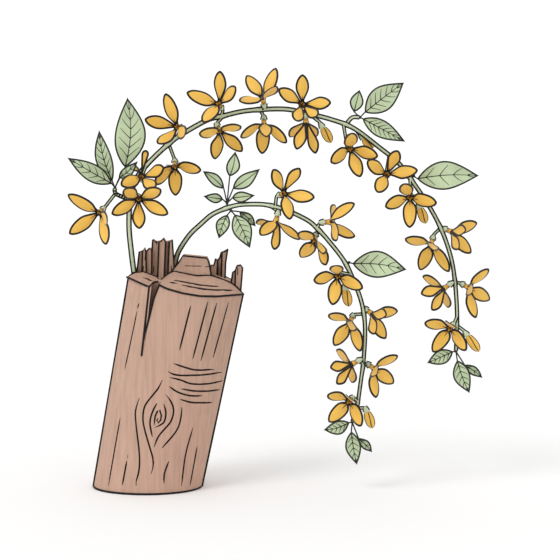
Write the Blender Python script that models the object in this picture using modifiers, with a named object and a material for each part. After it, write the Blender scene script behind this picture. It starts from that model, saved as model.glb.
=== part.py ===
"""A broken stump of old wood with two arching forsythia branches in flower, standing on its flat cut base.

Units are metres, +Z is up, the front looks towards -Y, and the origin is the middle of the flat base.
The front view is laid out on a sheet of squares, counted from its top left corner. Every place below that
is given as (across, down) counts those squares, and one given as (across, down, depth) adds how far it lies
behind the sheet, in millimetres.
"""

import math
from typing import NamedTuple

import bmesh
import bpy
import numpy as np
from mathutils import Vector

MM = 0.001

# Driving dimensions
STUMP_WIDTH = 75.9 * MM
STUMP_DEPTH = 64.0 * MM
STUMP_TOP_WIDTH = 81.5 * MM
STUMP_TOP_DEPTH = 68.0 * MM
STUMP_LEAN = 0.194
STUMP_TOP = 140.0 * MM
STEM_BASE_RADIUS = {"stem_upper": 1.75 * MM, "stem_lower": 1.45 * MM}
STEM_TIP_RADIUS = {"stem_upper": 1.05 * MM, "stem_lower": 0.95 * MM}
TWIG_RADIUS = 0.9 * MM
PEDICEL_RADIUS = 0.75 * MM
CALYX_RADIUS = 1.9 * MM
CALYX_LENGTH = 3.0 * MM
CALYX_SIDES = 6
STALK_IN_CALYX = 0.4
ELBOW_UNDER_CALYX = 1.3
TUBE_LENGTH = 5.0 * MM
SHORTEST_STALK = 2.5 * MM
SHARPEST_ELBOW = 0.3
TUBE_FOOT_RADIUS = 1.25 * MM
THROAT_RADIUS = 2.3 * MM
PETAL_LENGTH = 19.5 * MM
PETAL_WIDTH = 9.0 * MM
BLADE_THICKNESS = 0.7 * MM
BUD_RADIUS = 3.2 * MM
SEAT_GAP = 0.3 * MM
HOLE_GAP = 0.3 * MM
WELD = 0.0005 * MM

WOOD_COLOUR = (0.53, 0.33, 0.24)
STEM_COLOUR = (0.6, 0.7, 0.49)
PETAL_COLOUR = (0.84, 0.46, 0.07)
LEAF_COLOUR = (0.52, 0.63, 0.35)

# The sheet that the front view is laid out on
STUMP_WIDTH_IN_SQUARES = 108.4
SQUARE = STUMP_WIDTH / STUMP_WIDTH_IN_SQUARES
BASE_ACROSS = 146.4
BASE_DOWN = 489.5
EYE = Vector((0.0935, -1.6, 0.312))


def on_sheet(across, down, depth=0.0):
    """The point on the line of sight through a place on the sheet, that many millimetres behind it."""
    front = Vector(((across - BASE_ACROSS) * SQUARE, 0.0, (BASE_DOWN - down) * SQUARE))
    return front + (front - EYE) * (depth * MM / -EYE.y)


# Stems, from the foot of the hole in the stump to the tip
STEM_LINES = {
    "stem_upper": (
        (137.5, 292, 3), (134, 272, 3), (131, 247, 3), (129.5, 230, 2), (129.7, 212, 1), (131.5, 197, 1),
        (136, 180, 1), (148.9, 163.3, 1), (169.4, 143.8, 2), (183.3, 133.9, 2), (207.2, 120.6, 3),
        (221.7, 116.7, 4), (247.2, 111.1, 5), (282.8, 109.4, 8), (305, 113.3, 9), (331.7, 120, 10),
        (353.9, 128.9, 11), (380.6, 148.9, 12), (397.2, 162.2, 13), (409.4, 177.8, 13), (428.3, 205.6, 13),
        (441.5, 230.5, 12), (450.7, 257.1, 11), (455, 281.8, 10), (457.3, 312.9, 9), (456.9, 334, 7.5),
        (456.5, 350, 6),
    ),
    "stem_lower": (
        (171.5, 290, 24), (173.4, 272, 23), (176.1, 258.9, 21), (180, 249, 19), (190, 234.4, 13),
        (201, 223.9, 8), (212.2, 214.4, 3), (226.5, 208, -2), (239, 204.7, -6), (252, 204, -9),
        (266.5, 204.7, -12), (285, 209.5, -15), (306.5, 219.5, -17), (316.7, 227.8, -18), (328.9, 241.1, -19),
        (345, 262.5, -20), (357.5, 290, -21), (363.5, 311, -21), (365.3, 333.3, -20), (363.7, 363, -19),
        (361.7, 378.3, -18), (358, 405, -17), (355.3, 414.5, -16.4), (353.2, 421.8, -16),
    ),
}
STEM_POINT_SPACING = 8.0 * MM
STEM_ROUNDNESS = 2
TWIG_POINT_SPACING = 5.0 * MM
HOLE_KNOTS = 3

# Short side twigs that carry leaves, from the stem outwards
TWIGS = {
    "stem_upper": (
        ((130.5, 200, 1), (126.7, 198.3, 1), (116.1, 193.3, 0), (115.8, 189.5, 0)),
        ((345.6, 124.5, 11), (351.7, 117.8, 11), (357, 117.8, 11)),
    ),
    "stem_lower": (),
}


class Bloom(NamedTuple):
    """One flower: its stem, where its stalk leaves that stem, its throat and the tips of its petals."""

    stem: str
    root: tuple
    throat: tuple
    near: tuple
    far: tuple = ()


UPPER = "stem_upper"
LOWER = "stem_lower"

# The tips in near lean towards the viewer and those in far lean away
BLOOMS = {
    "bloom_01": Bloom(UPPER, (116.5, 194), (99.4, 212.8, -4),
                      ((70.6, 194.4), (71.7, 232.2), (107.8, 241.7), (110, 220))),
    "bloom_02": Bloom(UPPER, (146, 166), (142.2, 176.1, -8),
                      ((147.2, 150.6), (164.4, 166.7), (123.9, 183.9), (156.1, 186.1)), ((129, 168),)),
    "bloom_03": Bloom(UPPER, (131, 199), (139.4, 199.4, -15.5),
                      ((114.4, 212.2), (140.6, 226.1), (167.8, 212.8), (161.7, 188.3), (127.2, 187.8))),
    "bloom_04": Bloom(UPPER, (169.4, 145.6), (175.6, 166.7, 0),
                      ((157.2, 182.2), (201.1, 168.9), (173.3, 163.9)), ((175.6, 195),)),
    "bloom_05": Bloom(UPPER, (178, 137), (177.2, 126.7, -8),
                      ((167.2, 95), (147.8, 119.4), (160.6, 142.2), (186, 135))),
    "bloom_06": Bloom(UPPER, (221.7, 116.7), (218.9, 103.9, -4),
                      ((220.8, 72.8), (188.9, 93.3), (205, 121.1), (236.1, 87.8))),
    "bloom_07": Bloom(UPPER, (223.3, 117), (220.3, 132.2, 0),
                      ((201.4, 132.2), (240.6, 125.6)), ((215, 158.9), (241.7, 151.1))),
    "bloom_08": Bloom(UPPER, (258.3, 110), (262.8, 98.3, 2),
                      ((241.1, 101.1), (276.1, 86.7)), ((247.2, 77.2), (275.6, 70))),
    "bloom_09": Bloom(UPPER, (258.3, 110), (264, 125.5, 4),
                      ((241.7, 136.1), (286.1, 141.7), (266.7, 135.6)), ((262.2, 153.3),)),
    "bloom_10": Bloom(UPPER, (303, 113), (302.2, 104.4, -3),
                      ((302.2, 76.1), (279.4, 90), (329.4, 102.8), (296.1, 120), (316.1, 115.6))),
    "bloom_11": Bloom(UPPER, (302.8, 113), (305.6, 123.3, 8),
                      ((296.7, 147.8), (315, 152.2)), ((290.6, 137.8), (315.6, 137.8))),
    "bloom_12": Bloom(UPPER, (343.3, 124.5), (350, 149.4, 2),
                      ((350.6, 132.8), (330.6, 160.6), (359.4, 175.6), (376.1, 155.6))),
    "bloom_13": Bloom(UPPER, (390, 156), (386.7, 173.9, 1),
                      ((366.7, 160.6), (396.1, 150.6), (415.6, 170), (376.1, 190))),
    "bloom_14": Bloom(UPPER, (409.4, 177.8), (409.4, 197.8, 3),
                      ((401.7, 182.8), (385, 205), (408.9, 226.1), (434.4, 201.7))),
    "bloom_15": Bloom(UPPER, (441, 229), (430.7, 244.5, 8),
                      ((405, 237.1), (447.9, 270), (431, 247)), ((421.4, 270.7),)),
    "bloom_16": Bloom(UPPER, (441.5, 230.5), (452, 232, 10),
                      ((463, 227.9), (456.4, 246.4)), ((476.9, 224.3), (470.7, 252.9))),
    "bloom_17": Bloom(UPPER, (455, 281.8), (443.6, 288.6, 8),
                      ((421, 292.1), (431.4, 307.9)), ((424.3, 278.6), (449, 309.3))),
    "bloom_18": Bloom(UPPER, (455, 283), (469.3, 288, 9),
                      ((486.4, 267.9), (475, 316.4), (470, 289)), ((490.7, 301.4),)),
    "bloom_19": Bloom(UPPER, (457.3, 318), (450, 329.3, -2),
                      ((425, 321.4), (465, 347.9), (448.6, 320.7)), ((434.3, 352.9),)),
    "bloom_20": Bloom(LOWER, (273.9, 206.7), (284.4, 192.8, -24),
                      ((273.3, 169.4), (298.9, 168.3), (313.3, 196.7), (289.4, 217.2))),
    "bloom_21": Bloom(LOWER, (269.4, 205), (276, 221.5, -14),
                      ((261.1, 232.8), (298.9, 238.3)), ((256.7, 225), (274.4, 249.4))),
    "bloom_22": Bloom(LOWER, (316.7, 227.8), (314.4, 241, -18),
                      ((299.4, 230.6), (325.6, 262.8), (322.2, 251.1)), ((301.1, 258.3),)),
    "bloom_23": Bloom(LOWER, (316, 227), (330.6, 221.8, -18),
                      ((353.3, 203.3), (336.1, 237.8)), ((354.4, 236.7), (335.6, 207.2))),
    "bloom_24": Bloom(LOWER, (350, 271), (337.5, 276.7, -30),
                      ((335, 263.3), (314.2, 278.3), (332.5, 303.3), (361.7, 286.7))),
    "bloom_25": Bloom(LOWER, (363, 309), (350, 322.5, -22),
                      ((329.2, 312.5), (360.3, 350), (350, 327)), ((335, 346.7),)),
    "bloom_26": Bloom(LOWER, (363.5, 311), (372.5, 314.5, -22),
                      ((385, 312.5), (374.2, 330.8)), ((397.8, 313.3), (385.8, 339.2))),
    "bloom_27": Bloom(LOWER, (363.7, 362), (352, 365, -20),
                      ((330.8, 365.8), (337, 381.7)), ((337.5, 354.2), (352.5, 385.8))),
    "bloom_28": Bloom(LOWER, (363.7, 363), (375, 370, -19),
                      ((396.7, 355), (375.8, 396.7), (376, 371)), ((394.2, 385.8),)),
    "bloom_29": Bloom(LOWER, (359, 400), (349.2, 403.3, -26),
                      ((328.3, 393.3), (360.8, 424.2), (350, 395.8)), ((330, 424.2),)),
}


# A petal's rows: how far along it each lies, and its share of the full width
PETAL_ROWS = ((0.34, 0.76), (0.7, 1.0), (0.93, 0.7), (1.0, 0.1))
PETAL_BEND = 0.16
PETAL_REACH = 2.5 * MM
PETAL_CUP = 0.22
PETAL_TWIST = 0.8
PETAL_SPARE_LENGTH = 1.03
PETAL_ROOM = 0.9
WIDEST_ROOM = math.radians(60)
BUD_SIDES = 8
BUD_ROWS = ((0.0, 0.4), (0.3, 0.85), (0.6, 1.0), (0.85, 0.6), (1.0, 0.1))


class Bud(NamedTuple):
    """One closed bud: the stem that carries it, where its stalk leaves that stem, its seat and its tip."""

    stem: str
    root: tuple
    seat: tuple
    tip: tuple


BUDS = {
    "bud_01": Bud(UPPER, (307, 113.6), (321.7, 126.7, 9), (331.1, 142.8, 9)),
    "bud_02": Bud(UPPER, (421, 194), (418.9, 206.7, 12), (425.6, 223.3, 12)),
    "bud_03": Bud(UPPER, (457, 328), (467.1, 335, 8), (480, 352.1, 6)),
    "bud_04": Bud(LOWER, (353.5, 281), (345, 288.3, -22), (349.2, 306.7, -22)),
    "bud_05": Bud(LOWER, (358, 404), (366.7, 411.7, -17), (373.3, 430, -17)),
    "bud_06": Bud(UPPER, (358, 131.5), (362, 137.5, 17), (373, 148, 18)),
}


class Leaf(NamedTuple):
    """One leaf: its width in squares, the foot of its stalk, the foot and tip of its blade, and how far
    the blade bows to its left, in squares."""

    width: float
    stalk: tuple
    foot: tuple
    tip: tuple
    bow: float = 0.0
    arch: float = 0.06


# The places of each spray's leaves, which all leave from its hub
SPRAYS = {
    "leaves_left_spray": (
        (115.7, 187.6, 0),
        (
            Leaf(17.5, (115.6, 187.6, 0), (112.2, 183.3, -1), (68.7, 157.8, -8)),
            Leaf(16, (115.6, 187.6, 0), (112.8, 180.5, 1), (100.3, 130.6, 4), 2.4),
            Leaf(30.5, (116.4, 187.4, 0), (126.0, 167.0, 4), (128.6, 98.3, 8), -4.6),
            Leaf(10, (116.4, 187.6, 0), (120, 177.8, -2), (138.3, 161.5, -8), -1.0),
        ),
    ),
    "leaves_top_spray": (
        (359.5, 117.7, 11),
        (
            Leaf(13, (359, 117, 11), (353.5, 112, 12), (358.9, 90.6, 14)),
            Leaf(24.5, (360, 117.5, 11), (364.5, 112.5, 10), (402.8, 83.3, 6), 0.6),
            Leaf(17, (360, 118.3, 11), (362.5, 119.2, 10), (404.4, 141.7, 2)),
        ),
    ),
    "leaf_upper": (
        (413.2, 176, 13),
        (Leaf(28, (413.2, 176, 13), (417, 178.6, 12), (477.8, 175.6, 6), 2.6, 0.1),),
    ),
    "leaves_upper_tip": (
        (456.6, 352.1, 6),
        (
            Leaf(14.5, (456.6, 352.1, 6), (453.2, 352.3, 6), (427.9, 363.6, 8)),
            Leaf(16.5, (456.6, 352.1, 6), (458, 361.5, 5), (470.4, 394, 2), -1.2),
            Leaf(8.5, (456.6, 352.1, 6), (465.5, 366, 7), (483.1, 378.6, 10), 0.8),
        ),
    ),
    "leaves_sprout": (
        (227.2, 203.2, -2),
        (
            Leaf(10.5, (227.2, 202, -2), (223.9, 188, -1), (203.3, 171.1, 2), -1.3),
            Leaf(13, (227.4, 202, -2), (230, 176, -3), (235.6, 151.7, -5), -1.2),
            Leaf(13, (227.6, 202, -2), (233.5, 188.3, -4), (260, 168.9, -9), -0.7),
            Leaf(9.5, (227, 202.4, -2), (222.6, 199, -1), (203.9, 196.1, -8)),
            Leaf(10.5, (227.6, 202.4, -2), (232.8, 197.6, -3), (254.8, 195.3, -12)),
        ),
    ),
    "leaves_under_hub": (
        (231, 210.5, -4),
        (
            Leaf(13, (230.6, 210.9, -4), (227.4, 215, -5), (218.9, 238.3, -8), -1.0),
            Leaf(18.5, (231.2, 210.9, -4), (235, 214.8, -6), (250, 247.8, -12), 1.0),
            Leaf(9, (231.6, 210.5, -4), (240, 211.6, -3), (255.6, 226.1, 2), 1.0),
        ),
    ),
    "leaf_lower": (
        (348.9, 262.4, -20),
        (Leaf(26, (348.9, 262.4, -20), (353, 263.4, -20), (406.3, 269.6, -24), 2.6, 0.08),),
    ),
    "leaves_lower_tip": (
        (352.7, 423.9, -15.6),
        (
            Leaf(13.5, (352.7, 423.9, -15.6), (349.4, 424.4, -15.2), (324.2, 431.7, -13), 1.5),
            Leaf(15, (352.7, 423.9, -15.6), (351.8, 434, -15), (357.5, 467, -18), -0.6),
            Leaf(8.5, (352.7, 423.9, -15.6), (359.2, 440.6, -14), (372.5, 454.2, -10), 0.8),
        ),
    ),
}
HUB_RADIUS = 1.1 * MM
STALK_SUNK = 0.12
LEAF_STEPS = 6
LEAF_FOOT_HALF_WIDTH = 0.5 * MM
LEAF_FULLNESS = 0.85
LEAF_FOLD = 0.22
POINTED_END = 0.02 * MM
STALK_RADIUS = 0.55 * MM

# The stump's broken top: the edge that faces the viewer, and the ridge behind it
TOP_FRONT_EDGE = (
    (128.3, 277.2), (148.9, 286.1), (160, 284.4), (169.4, 288.9), (185, 293.3), (201.7, 296.1),
    (218.3, 296.4), (243.3, 294.4),
)
TOP_RIDGE = (
    (128.3, 277.2), (133.3, 272.8), (143.9, 272.2), (157.2, 277.2), (160, 281), (172.2, 271.1),
    (196, 275.8), (212.2, 275.6), (229.4, 282.2), (236.1, 286.7), (243.3, 294.4),
)
CRACK_OUTLINE = (
    (148.4, 262), (149.2, 286.7), (146.1, 313.3), (141.1, 356.7), (143.9, 336.7), (147.8, 322),
    (152.8, 302), (159.4, 284.4), (161, 262),
)
CRACK_REACH = (-60, -13)
STUMP_SIDES = 44
STUMP_ROWS = (0.0, 0.2, 0.4, 0.6, 0.8, 1.0)
STUMP_TOP_ROWS = (0.8, 0.55, 0.3)
NARROWEST_RIM = 1.0 * MM

# A point on the rounded front is found in a few rounds, and stays within this share of the half width
FRONT_ROUNDS = 6
FRONT_EDGE = 0.985

# The block and the splinters left standing on the break, each an outline and its front and back depth
PLUG_OUTLINE = (
    (172.4, 284), (172.2, 270.6), (178.3, 263.3), (182.6, 256.4), (206.7, 258.7), (208.9, 263.3),
    (211.1, 275), (211.5, 284),
)
PLUG_REACH = (0, 15)
PLUG_LEAN_BACK = 0.3
SPLINTERS = (
    (((134.8, 290), (139.4, 251.7), (142.8, 250.6), (142.4, 290)), (8, 14)),
    (((141.4, 290), (142.6, 250.9), (145, 247.8), (145.9, 251.4), (147, 290)), (5, 12)),
    (((146, 290), (146.2, 251.5), (149.4, 248.3), (152, 249.3), (151.5, 290)), (7, 15)),
    (((148.9, 292), (153, 239.4), (156, 241.9), (159.8, 241.3), (158.5, 292)), (10, 20)),
    (((157, 292), (159.2, 241.6), (161.2, 241), (163.6, 238.3), (165.8, 242), (163.5, 292)), (6, 17)),
    (((162, 292), (164.8, 242), (170, 241.1), (168.5, 292)), (9, 20)),
    (((167, 292), (169.5, 241.4), (172.4, 239.8), (173.9, 261.1), (174.4, 268), (172.5, 292)), (7, 17)),
    (((209.8, 286), (210.6, 265.3), (213.9, 265.6), (215.6, 258.7), (217.6, 261.2), (218, 288)), (14, 23)),
    (((216.5, 288), (217.2, 261.1), (220, 257.2), (221.4, 252.2), (222.8, 251.9), (222.4, 288)), (17, 26)),
    (((221, 290), (222, 252.2), (225, 251.1), (227.8, 248.9), (225.6, 263.3), (224.8, 290)), (15, 24)),
    (((229.4, 294), (232.8, 272.2), (235.6, 270), (236.4, 298)), (3, 9)),
    (((234.8, 298), (235.4, 270.2), (237.2, 265.6), (240.6, 265), (242.6, 267.8), (240, 300)), (1, 8)),
)

# Grooves of the grain and of the knot in the stump's front
GROOVE_RADIUS = 0.75 * MM
GROOVE_POINT_SPACING = 15
GROOVES = (
    ((136.9, 311), (123.9, 370.6)),
    ((190.6, 306), (179.2, 350.8)),
    ((207.8, 302), (192.4, 360)),
    ((228.7, 302), (212.8, 358.5)),
    ((167.4, 372.4), (177.2, 376.1), (201.7, 375.8), (221.4, 373.1)),
    ((168.6, 387.4), (177.2, 393.3), (189.4, 396.9), (201.9, 397)),
    ((161.9, 380.9), (150, 398.9), (143.9, 407.8), (142, 420), (143.9, 432.2), (151.7, 460), (149.8, 476.9)),
    ((165.2, 395.8), (170.6, 403.3), (173, 412.2), (170, 423.3), (160.6, 434.4), (153, 449.4)),
    ((156.4, 404.4), (151.7, 413.3), (149.1, 424.4), (151.4, 438.9)),
    ((138.7, 398.9), (134.7, 412.2), (135, 424.4), (138.3, 456.7), (137.8, 473.3), (134.8, 484.4)),
    ((119.2, 419.1), (107.5, 484)),
    ((192.4, 429.4), (185, 456.7), (180.6, 485)),
)


def new_collection(name):
    collection = bpy.data.collections.new(name)
    bpy.context.scene.collection.children.link(collection)
    return collection


def clear_scene():
    for left_over in list(bpy.data.objects):
        bpy.data.objects.remove(left_over, do_unlink=True)


def principled(name, colour, roughness):
    material = bpy.data.materials.new(name)
    material.use_nodes = True
    shader = material.node_tree.nodes["Principled BSDF"]
    shader.inputs["Base Color"].default_value = (*colour, 1.0)
    shader.inputs["Roughness"].default_value = roughness
    shader.inputs["Metallic"].default_value = 0.0
    return material


def mesh_object(name, shape, collection):
    """A named object from a bmesh, which is freed."""
    mesh = bpy.data.meshes.new(name)
    shape.to_mesh(mesh)
    shape.free()
    made = bpy.data.objects.new(name, mesh)
    collection.objects.link(made)
    return made


def baked(source, name, collection):
    """The evaluated shape of an object as a welded mesh object, in place of that object."""
    bpy.context.view_layer.update()
    evaluated = source.evaluated_get(bpy.context.evaluated_depsgraph_get())
    mesh = bpy.data.meshes.new_from_object(evaluated)
    shape = bmesh.new()
    shape.from_mesh(mesh)
    bmesh.ops.remove_doubles(shape, verts=shape.verts, dist=WELD)
    shape.to_mesh(mesh)
    shape.free()
    place = source.matrix_world.copy()
    bpy.data.objects.remove(source, do_unlink=True)
    made = bpy.data.objects.new(name, mesh)
    made.matrix_world = place
    collection.objects.link(made)
    return made


def smooth_line(knots, spacing):
    """Points about that far apart on a Catmull-Rom curve through the knots."""
    ends = [2 * knots[0] - knots[1], *knots, 2 * knots[-1] - knots[-2]]
    line = []
    for before, start, end, after in zip(ends, ends[1:], ends[2:], ends[3:]):
        steps = max(1, round((end - start).length / spacing))
        for step in range(steps):
            t = step / steps
            line.append(
                0.5
                * (
                    2 * start
                    + (end - before) * t
                    + (2 * before - 5 * start + 4 * end - after) * t**2
                    + (3 * start - before - 3 * end + after) * t**3
                )
            )
    line.append(knots[-1].copy())
    return line


def tube(name, line, radii, roundness, collection):
    """A closed tube along a line, with a radius for each of its points."""
    curve = bpy.data.curves.new(name, "CURVE")
    curve.dimensions = "3D"
    curve.bevel_depth = 1.0
    curve.bevel_resolution = roundness
    curve.use_fill_caps = True
    spline = curve.splines.new("POLY")
    spline.points.add(len(line) - 1)
    for point, place, radius in zip(spline.points, line, radii):
        point.co = (*place, 1.0)
        point.radius = radius
    wire = bpy.data.objects.new(name, curve)
    collection.objects.link(wire)
    return baked(wire, name, collection)


def slab(name, outline, reach, collection):
    """An outline on the sheet, as a slab between a front and a back depth."""
    front, back = reach
    curve = bpy.data.curves.new(name, "CURVE")
    curve.dimensions = "2D"
    curve.fill_mode = "BOTH"
    curve.extrude = (back - front) * MM / 2
    spline = curve.splines.new("POLY")
    spline.points.add(len(outline) - 1)
    for point, (across, down) in zip(spline.points, outline):
        place = on_sheet(across, down, (front + back) / 2)
        point.co = (place.x, place.z, 0.0, 1.0)
    spline.use_cyclic_u = True
    board = bpy.data.objects.new(name, curve)
    board.rotation_euler = (math.pi / 2, 0.0, 0.0)
    board.location.y = (front + back) * MM / 2
    collection.objects.link(board)
    return baked(board, name, collection)


def combine(target, others, operation, solver="EXACT"):
    """Unite the others with the target, or cut them from it, in one Boolean that is then applied."""
    group = bpy.data.collections.new(f"{target.name}_{operation.lower()}")
    bpy.context.scene.collection.children.link(group)
    for other in others:
        for home in list(other.users_collection):
            home.objects.unlink(other)
        group.objects.link(other)
    boolean = target.modifiers.new("join", "BOOLEAN")
    boolean.operation = operation
    boolean.operand_type = "COLLECTION"
    boolean.collection = group
    boolean.solver = solver
    made = baked(target, target.name, target.users_collection[0])
    for other in list(group.objects):
        bpy.data.objects.remove(other, do_unlink=True)
    bpy.data.collections.remove(group)
    return made


def stump_middle(height):
    """The middle and the half sizes of the stump's leaning body at a height."""
    share = height / STUMP_TOP
    half_width = (STUMP_WIDTH + (STUMP_TOP_WIDTH - STUMP_WIDTH) * share) / 2
    half_depth = (STUMP_DEPTH + (STUMP_TOP_DEPTH - STUMP_DEPTH) * share) / 2
    return STUMP_LEAN * height, half_width, half_depth


def stump_front(across, down):
    """The point on the stump's rounded front behind a place on the sheet."""
    depth = -STUMP_DEPTH / 2 / MM
    for _ in range(FRONT_ROUNDS):
        place = on_sheet(across, down, depth)
        middle, half_width, half_depth = stump_middle(place.z)
        side = min(FRONT_EDGE, abs(place.x - middle) / half_width)
        depth = -half_depth * math.sqrt(1 - side**2) / MM
    return on_sheet(across, down, depth)


def top_height(x, y):
    """The height of the broken top over a place on the floor."""
    across = BASE_ACROSS + x / SQUARE
    front_down = np.interp(across, *zip(*TOP_FRONT_EDGE))
    ridge_down = np.interp(across, *zip(*TOP_RIDGE))
    ridge = (BASE_DOWN - ridge_down) * SQUARE
    sight_slope = (EYE.z - STUMP_TOP) / -EYE.y
    front = (BASE_DOWN - front_down) * SQUARE
    middle, half_width, half_depth = stump_middle(STUMP_TOP)
    side = min(1.0, abs(x - middle) / half_width)
    rim = half_depth * math.sqrt(1 - side**2)
    if y >= 0 or rim < NARROWEST_RIM:
        return ridge
    share = min(1.0, -y / rim)
    return ridge + (front + rim * sight_slope - ridge) * share


def grown_row(shape, row, closed=False):
    """Extrude the edges along a row of vertices, and return the new row in the same order."""
    following = row[1:] + row[:1] if closed else row[1:]
    edges = [shape.edges.get(pair) for pair in zip(row, following)]
    grown = bmesh.ops.extrude_edge_only(shape, edges=edges)["geom"]
    fresh = {item for item in grown if isinstance(item, bmesh.types.BMVert)}
    return [next(e.other_vert(v) for e in v.link_edges if e.other_vert(v) in fresh) for v in row]


def stump_body(collection):
    """The leaning body with its broken top, before it is cut."""
    shape = bmesh.new()
    row = bmesh.ops.create_circle(shape, cap_ends=True, segments=STUMP_SIDES, radius=1.0)["verts"]
    angles = [math.atan2(v.co.y, v.co.x) for v in row]
    for share in STUMP_ROWS:
        if share > 0:
            row = grown_row(shape, row, closed=True)
        for angle, vert in zip(angles, row):
            vert.co = stump_side(share, angle)
    for share in STUMP_TOP_ROWS:
        row = grown_row(shape, row, closed=True)
        for angle, vert in zip(angles, row):
            vert.co = stump_top_point(share, angle)
    top = shape.faces.new(row)
    crown = bmesh.ops.poke(shape, faces=[top])["verts"][0]
    crown.co = stump_top_point(0.0, 0.0)
    bmesh.ops.triangulate(shape, faces=shape.faces)
    bmesh.ops.recalc_face_normals(shape, faces=shape.faces)
    return mesh_object("stump", shape, collection)


def stump_top_point(share, angle):
    """A point on the broken top, at a share of the way from its middle to its rim."""
    middle, half_width, half_depth = stump_middle(STUMP_TOP)
    x = middle + share * half_width * math.cos(angle)
    y = share * half_depth * math.sin(angle)
    return Vector((x, y, top_height(x, y)))


def stump_side(share, angle):
    """A point on the stump's side, at a share of the way up to the rim."""
    rim_height = stump_top_point(1.0, angle).z
    height = share * rim_height
    middle, half_width, half_depth = stump_middle(height)
    return Vector((middle + half_width * math.cos(angle), half_depth * math.sin(angle), height))


def make_stump(collection, holes):
    body = stump_body(collection)
    plug = slab("plug", PLUG_OUTLINE, PLUG_REACH, collection)
    lowest = min(v.co.z for v in plug.data.vertices)
    for vertex in plug.data.vertices:
        vertex.co.y += PLUG_LEAN_BACK * (vertex.co.z - lowest)
    standing = [slab("splinter", outline, reach, collection) for outline, reach in SPLINTERS]
    body = combine(body, [plug, *standing], "UNION")
    crack = slab("crack", CRACK_OUTLINE, CRACK_REACH, collection)
    grooves = []
    for outline in GROOVES:
        drawn = smooth_line([Vector((across, down, 0.0)) for across, down in outline], GROOVE_POINT_SPACING)
        line = [stump_front(place.x, place.y) for place in drawn]
        grooves.append(tube("groove", line, [GROOVE_RADIUS] * len(line), 0, collection))
    return combine(body, [crack, *holes, *grooves], "DIFFERENCE")


def unit(vector):
    return vector.normalized()


def petal_tips(bloom, throat):
    """The tips of a bloom's petals, each at its true length from the throat."""
    flat = [(on_sheet(*tip, bloom.throat[2]) - throat, -1) for tip in bloom.near]
    flat += [(on_sheet(*tip, bloom.throat[2]) - throat, 1) for tip in bloom.far]
    length = max(PETAL_LENGTH, PETAL_SPARE_LENGTH * max(reach.length for reach, _ in flat))
    tips = []
    for reach, side in flat:
        lean = Vector((0.0, side * math.sqrt(length**2 - reach.length**2), 0.0))
        tips.append(throat + reach + lean)
    return tips


def facing(throat, tips):
    """The way a bloom looks: the mean direction of its petals."""
    return unit(sum((unit(tip - throat) for tip in tips), Vector()))


def around_axis(axis, place):
    """The angle of a direction about an axis."""
    side = unit(axis.cross(Vector((0.31, 0.17, 0.94))))
    rise = axis.cross(side)
    return math.atan2(place.dot(rise), place.dot(side)), side, rise


def twisted(across, heading, along):
    """The way across a petal, turned gently towards the viewer from its foot to its tip."""
    broad = heading.cross(Vector((0.0, 1.0, 0.0)))
    if broad.length < 0.3:
        return across
    broad = unit(broad if broad.dot(across) > 0 else -broad)
    return unit(across + broad * PETAL_TWIST * along)


def corolla(name, bloom, collection):
    """One flower's petals and funnel tube, as one shell of even thickness."""
    throat = on_sheet(*bloom.throat)
    tips = petal_tips(bloom, throat)
    axis = facing(throat, tips)
    _, side, rise = around_axis(axis, axis)
    petals = sorted((around_axis(axis, tip - throat)[0], tip) for tip in tips)
    angles = [angle for angle, _ in petals]
    gaps = [(after - before) % math.tau for before, after in zip(angles, angles[1:] + angles[:1])]
    shape = bmesh.new()
    ring = bmesh.ops.create_circle(shape, cap_ends=True, segments=2 * len(petals), radius=1.0)["verts"]
    spokes = []
    for angle, gap in zip(angles, gaps):
        spokes += [angle, angle + gap / 2]
    foot = throat - axis * TUBE_LENGTH
    rim = grown_row(shape, ring, closed=True)
    for spoke, low, high in zip(spokes, ring, rim):
        outward = side * math.cos(spoke) + rise * math.sin(spoke)
        low.co = foot + outward * TUBE_FOOT_RADIUS
        high.co = throat + outward * THROAT_RADIUS
    for index, (angle, tip) in enumerate(petals):
        room = PETAL_ROOM * math.tan(min(WIDEST_ROOM, gaps[index - 1] / 2, gaps[index] / 2))
        row = [rim[2 * index - 1], rim[2 * index], rim[(2 * index + 1) % len(rim)]]
        start = row[1].co.copy()
        bend = start + axis * PETAL_BEND * (tip - start).length + unit(start - throat) * PETAL_REACH
        for along, share in PETAL_ROWS:
            row = grown_row(shape, row)
            middle = start * (1 - along) ** 2 + bend * (2 * along * (1 - along)) + tip * along**2
            heading = unit(bend - start + (tip - 2 * bend + start) * along)
            across = unit(axis.cross(heading)) if axis.cross(heading).length > 0.05 else side
            across = twisted(across, heading, along)
            lift = heading.cross(across) * -PETAL_CUP
            from_axis = (middle - throat).cross(axis).length
            half = min(share * PETAL_WIDTH / 2, from_axis * room)
            for step, vert in zip((-1, 0, 1), row):
                vert.co = middle + (across * step + lift * abs(step)) * half
        bmesh.ops.pointmerge(shape, verts=row, merge_co=tip)
    bmesh.ops.triangulate(shape, faces=shape.faces)
    bmesh.ops.recalc_face_normals(shape, faces=shape.faces)
    bloom_object = mesh_object(name, shape, collection)
    wall = bloom_object.modifiers.new("wall", "SOLIDIFY")
    wall.thickness = BLADE_THICKNESS
    wall.offset = 0.0
    return bloom_object, foot - axis * (BLADE_THICKNESS / 2 + SEAT_GAP), axis


def nearest_on(line, place):
    """The point of a stem's line that the front view shows nearest to a place on the sheet."""
    target = on_sheet(*place)
    return min(line, key=lambda point: (point.x - target.x) ** 2 + (point.z - target.z) ** 2)


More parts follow.
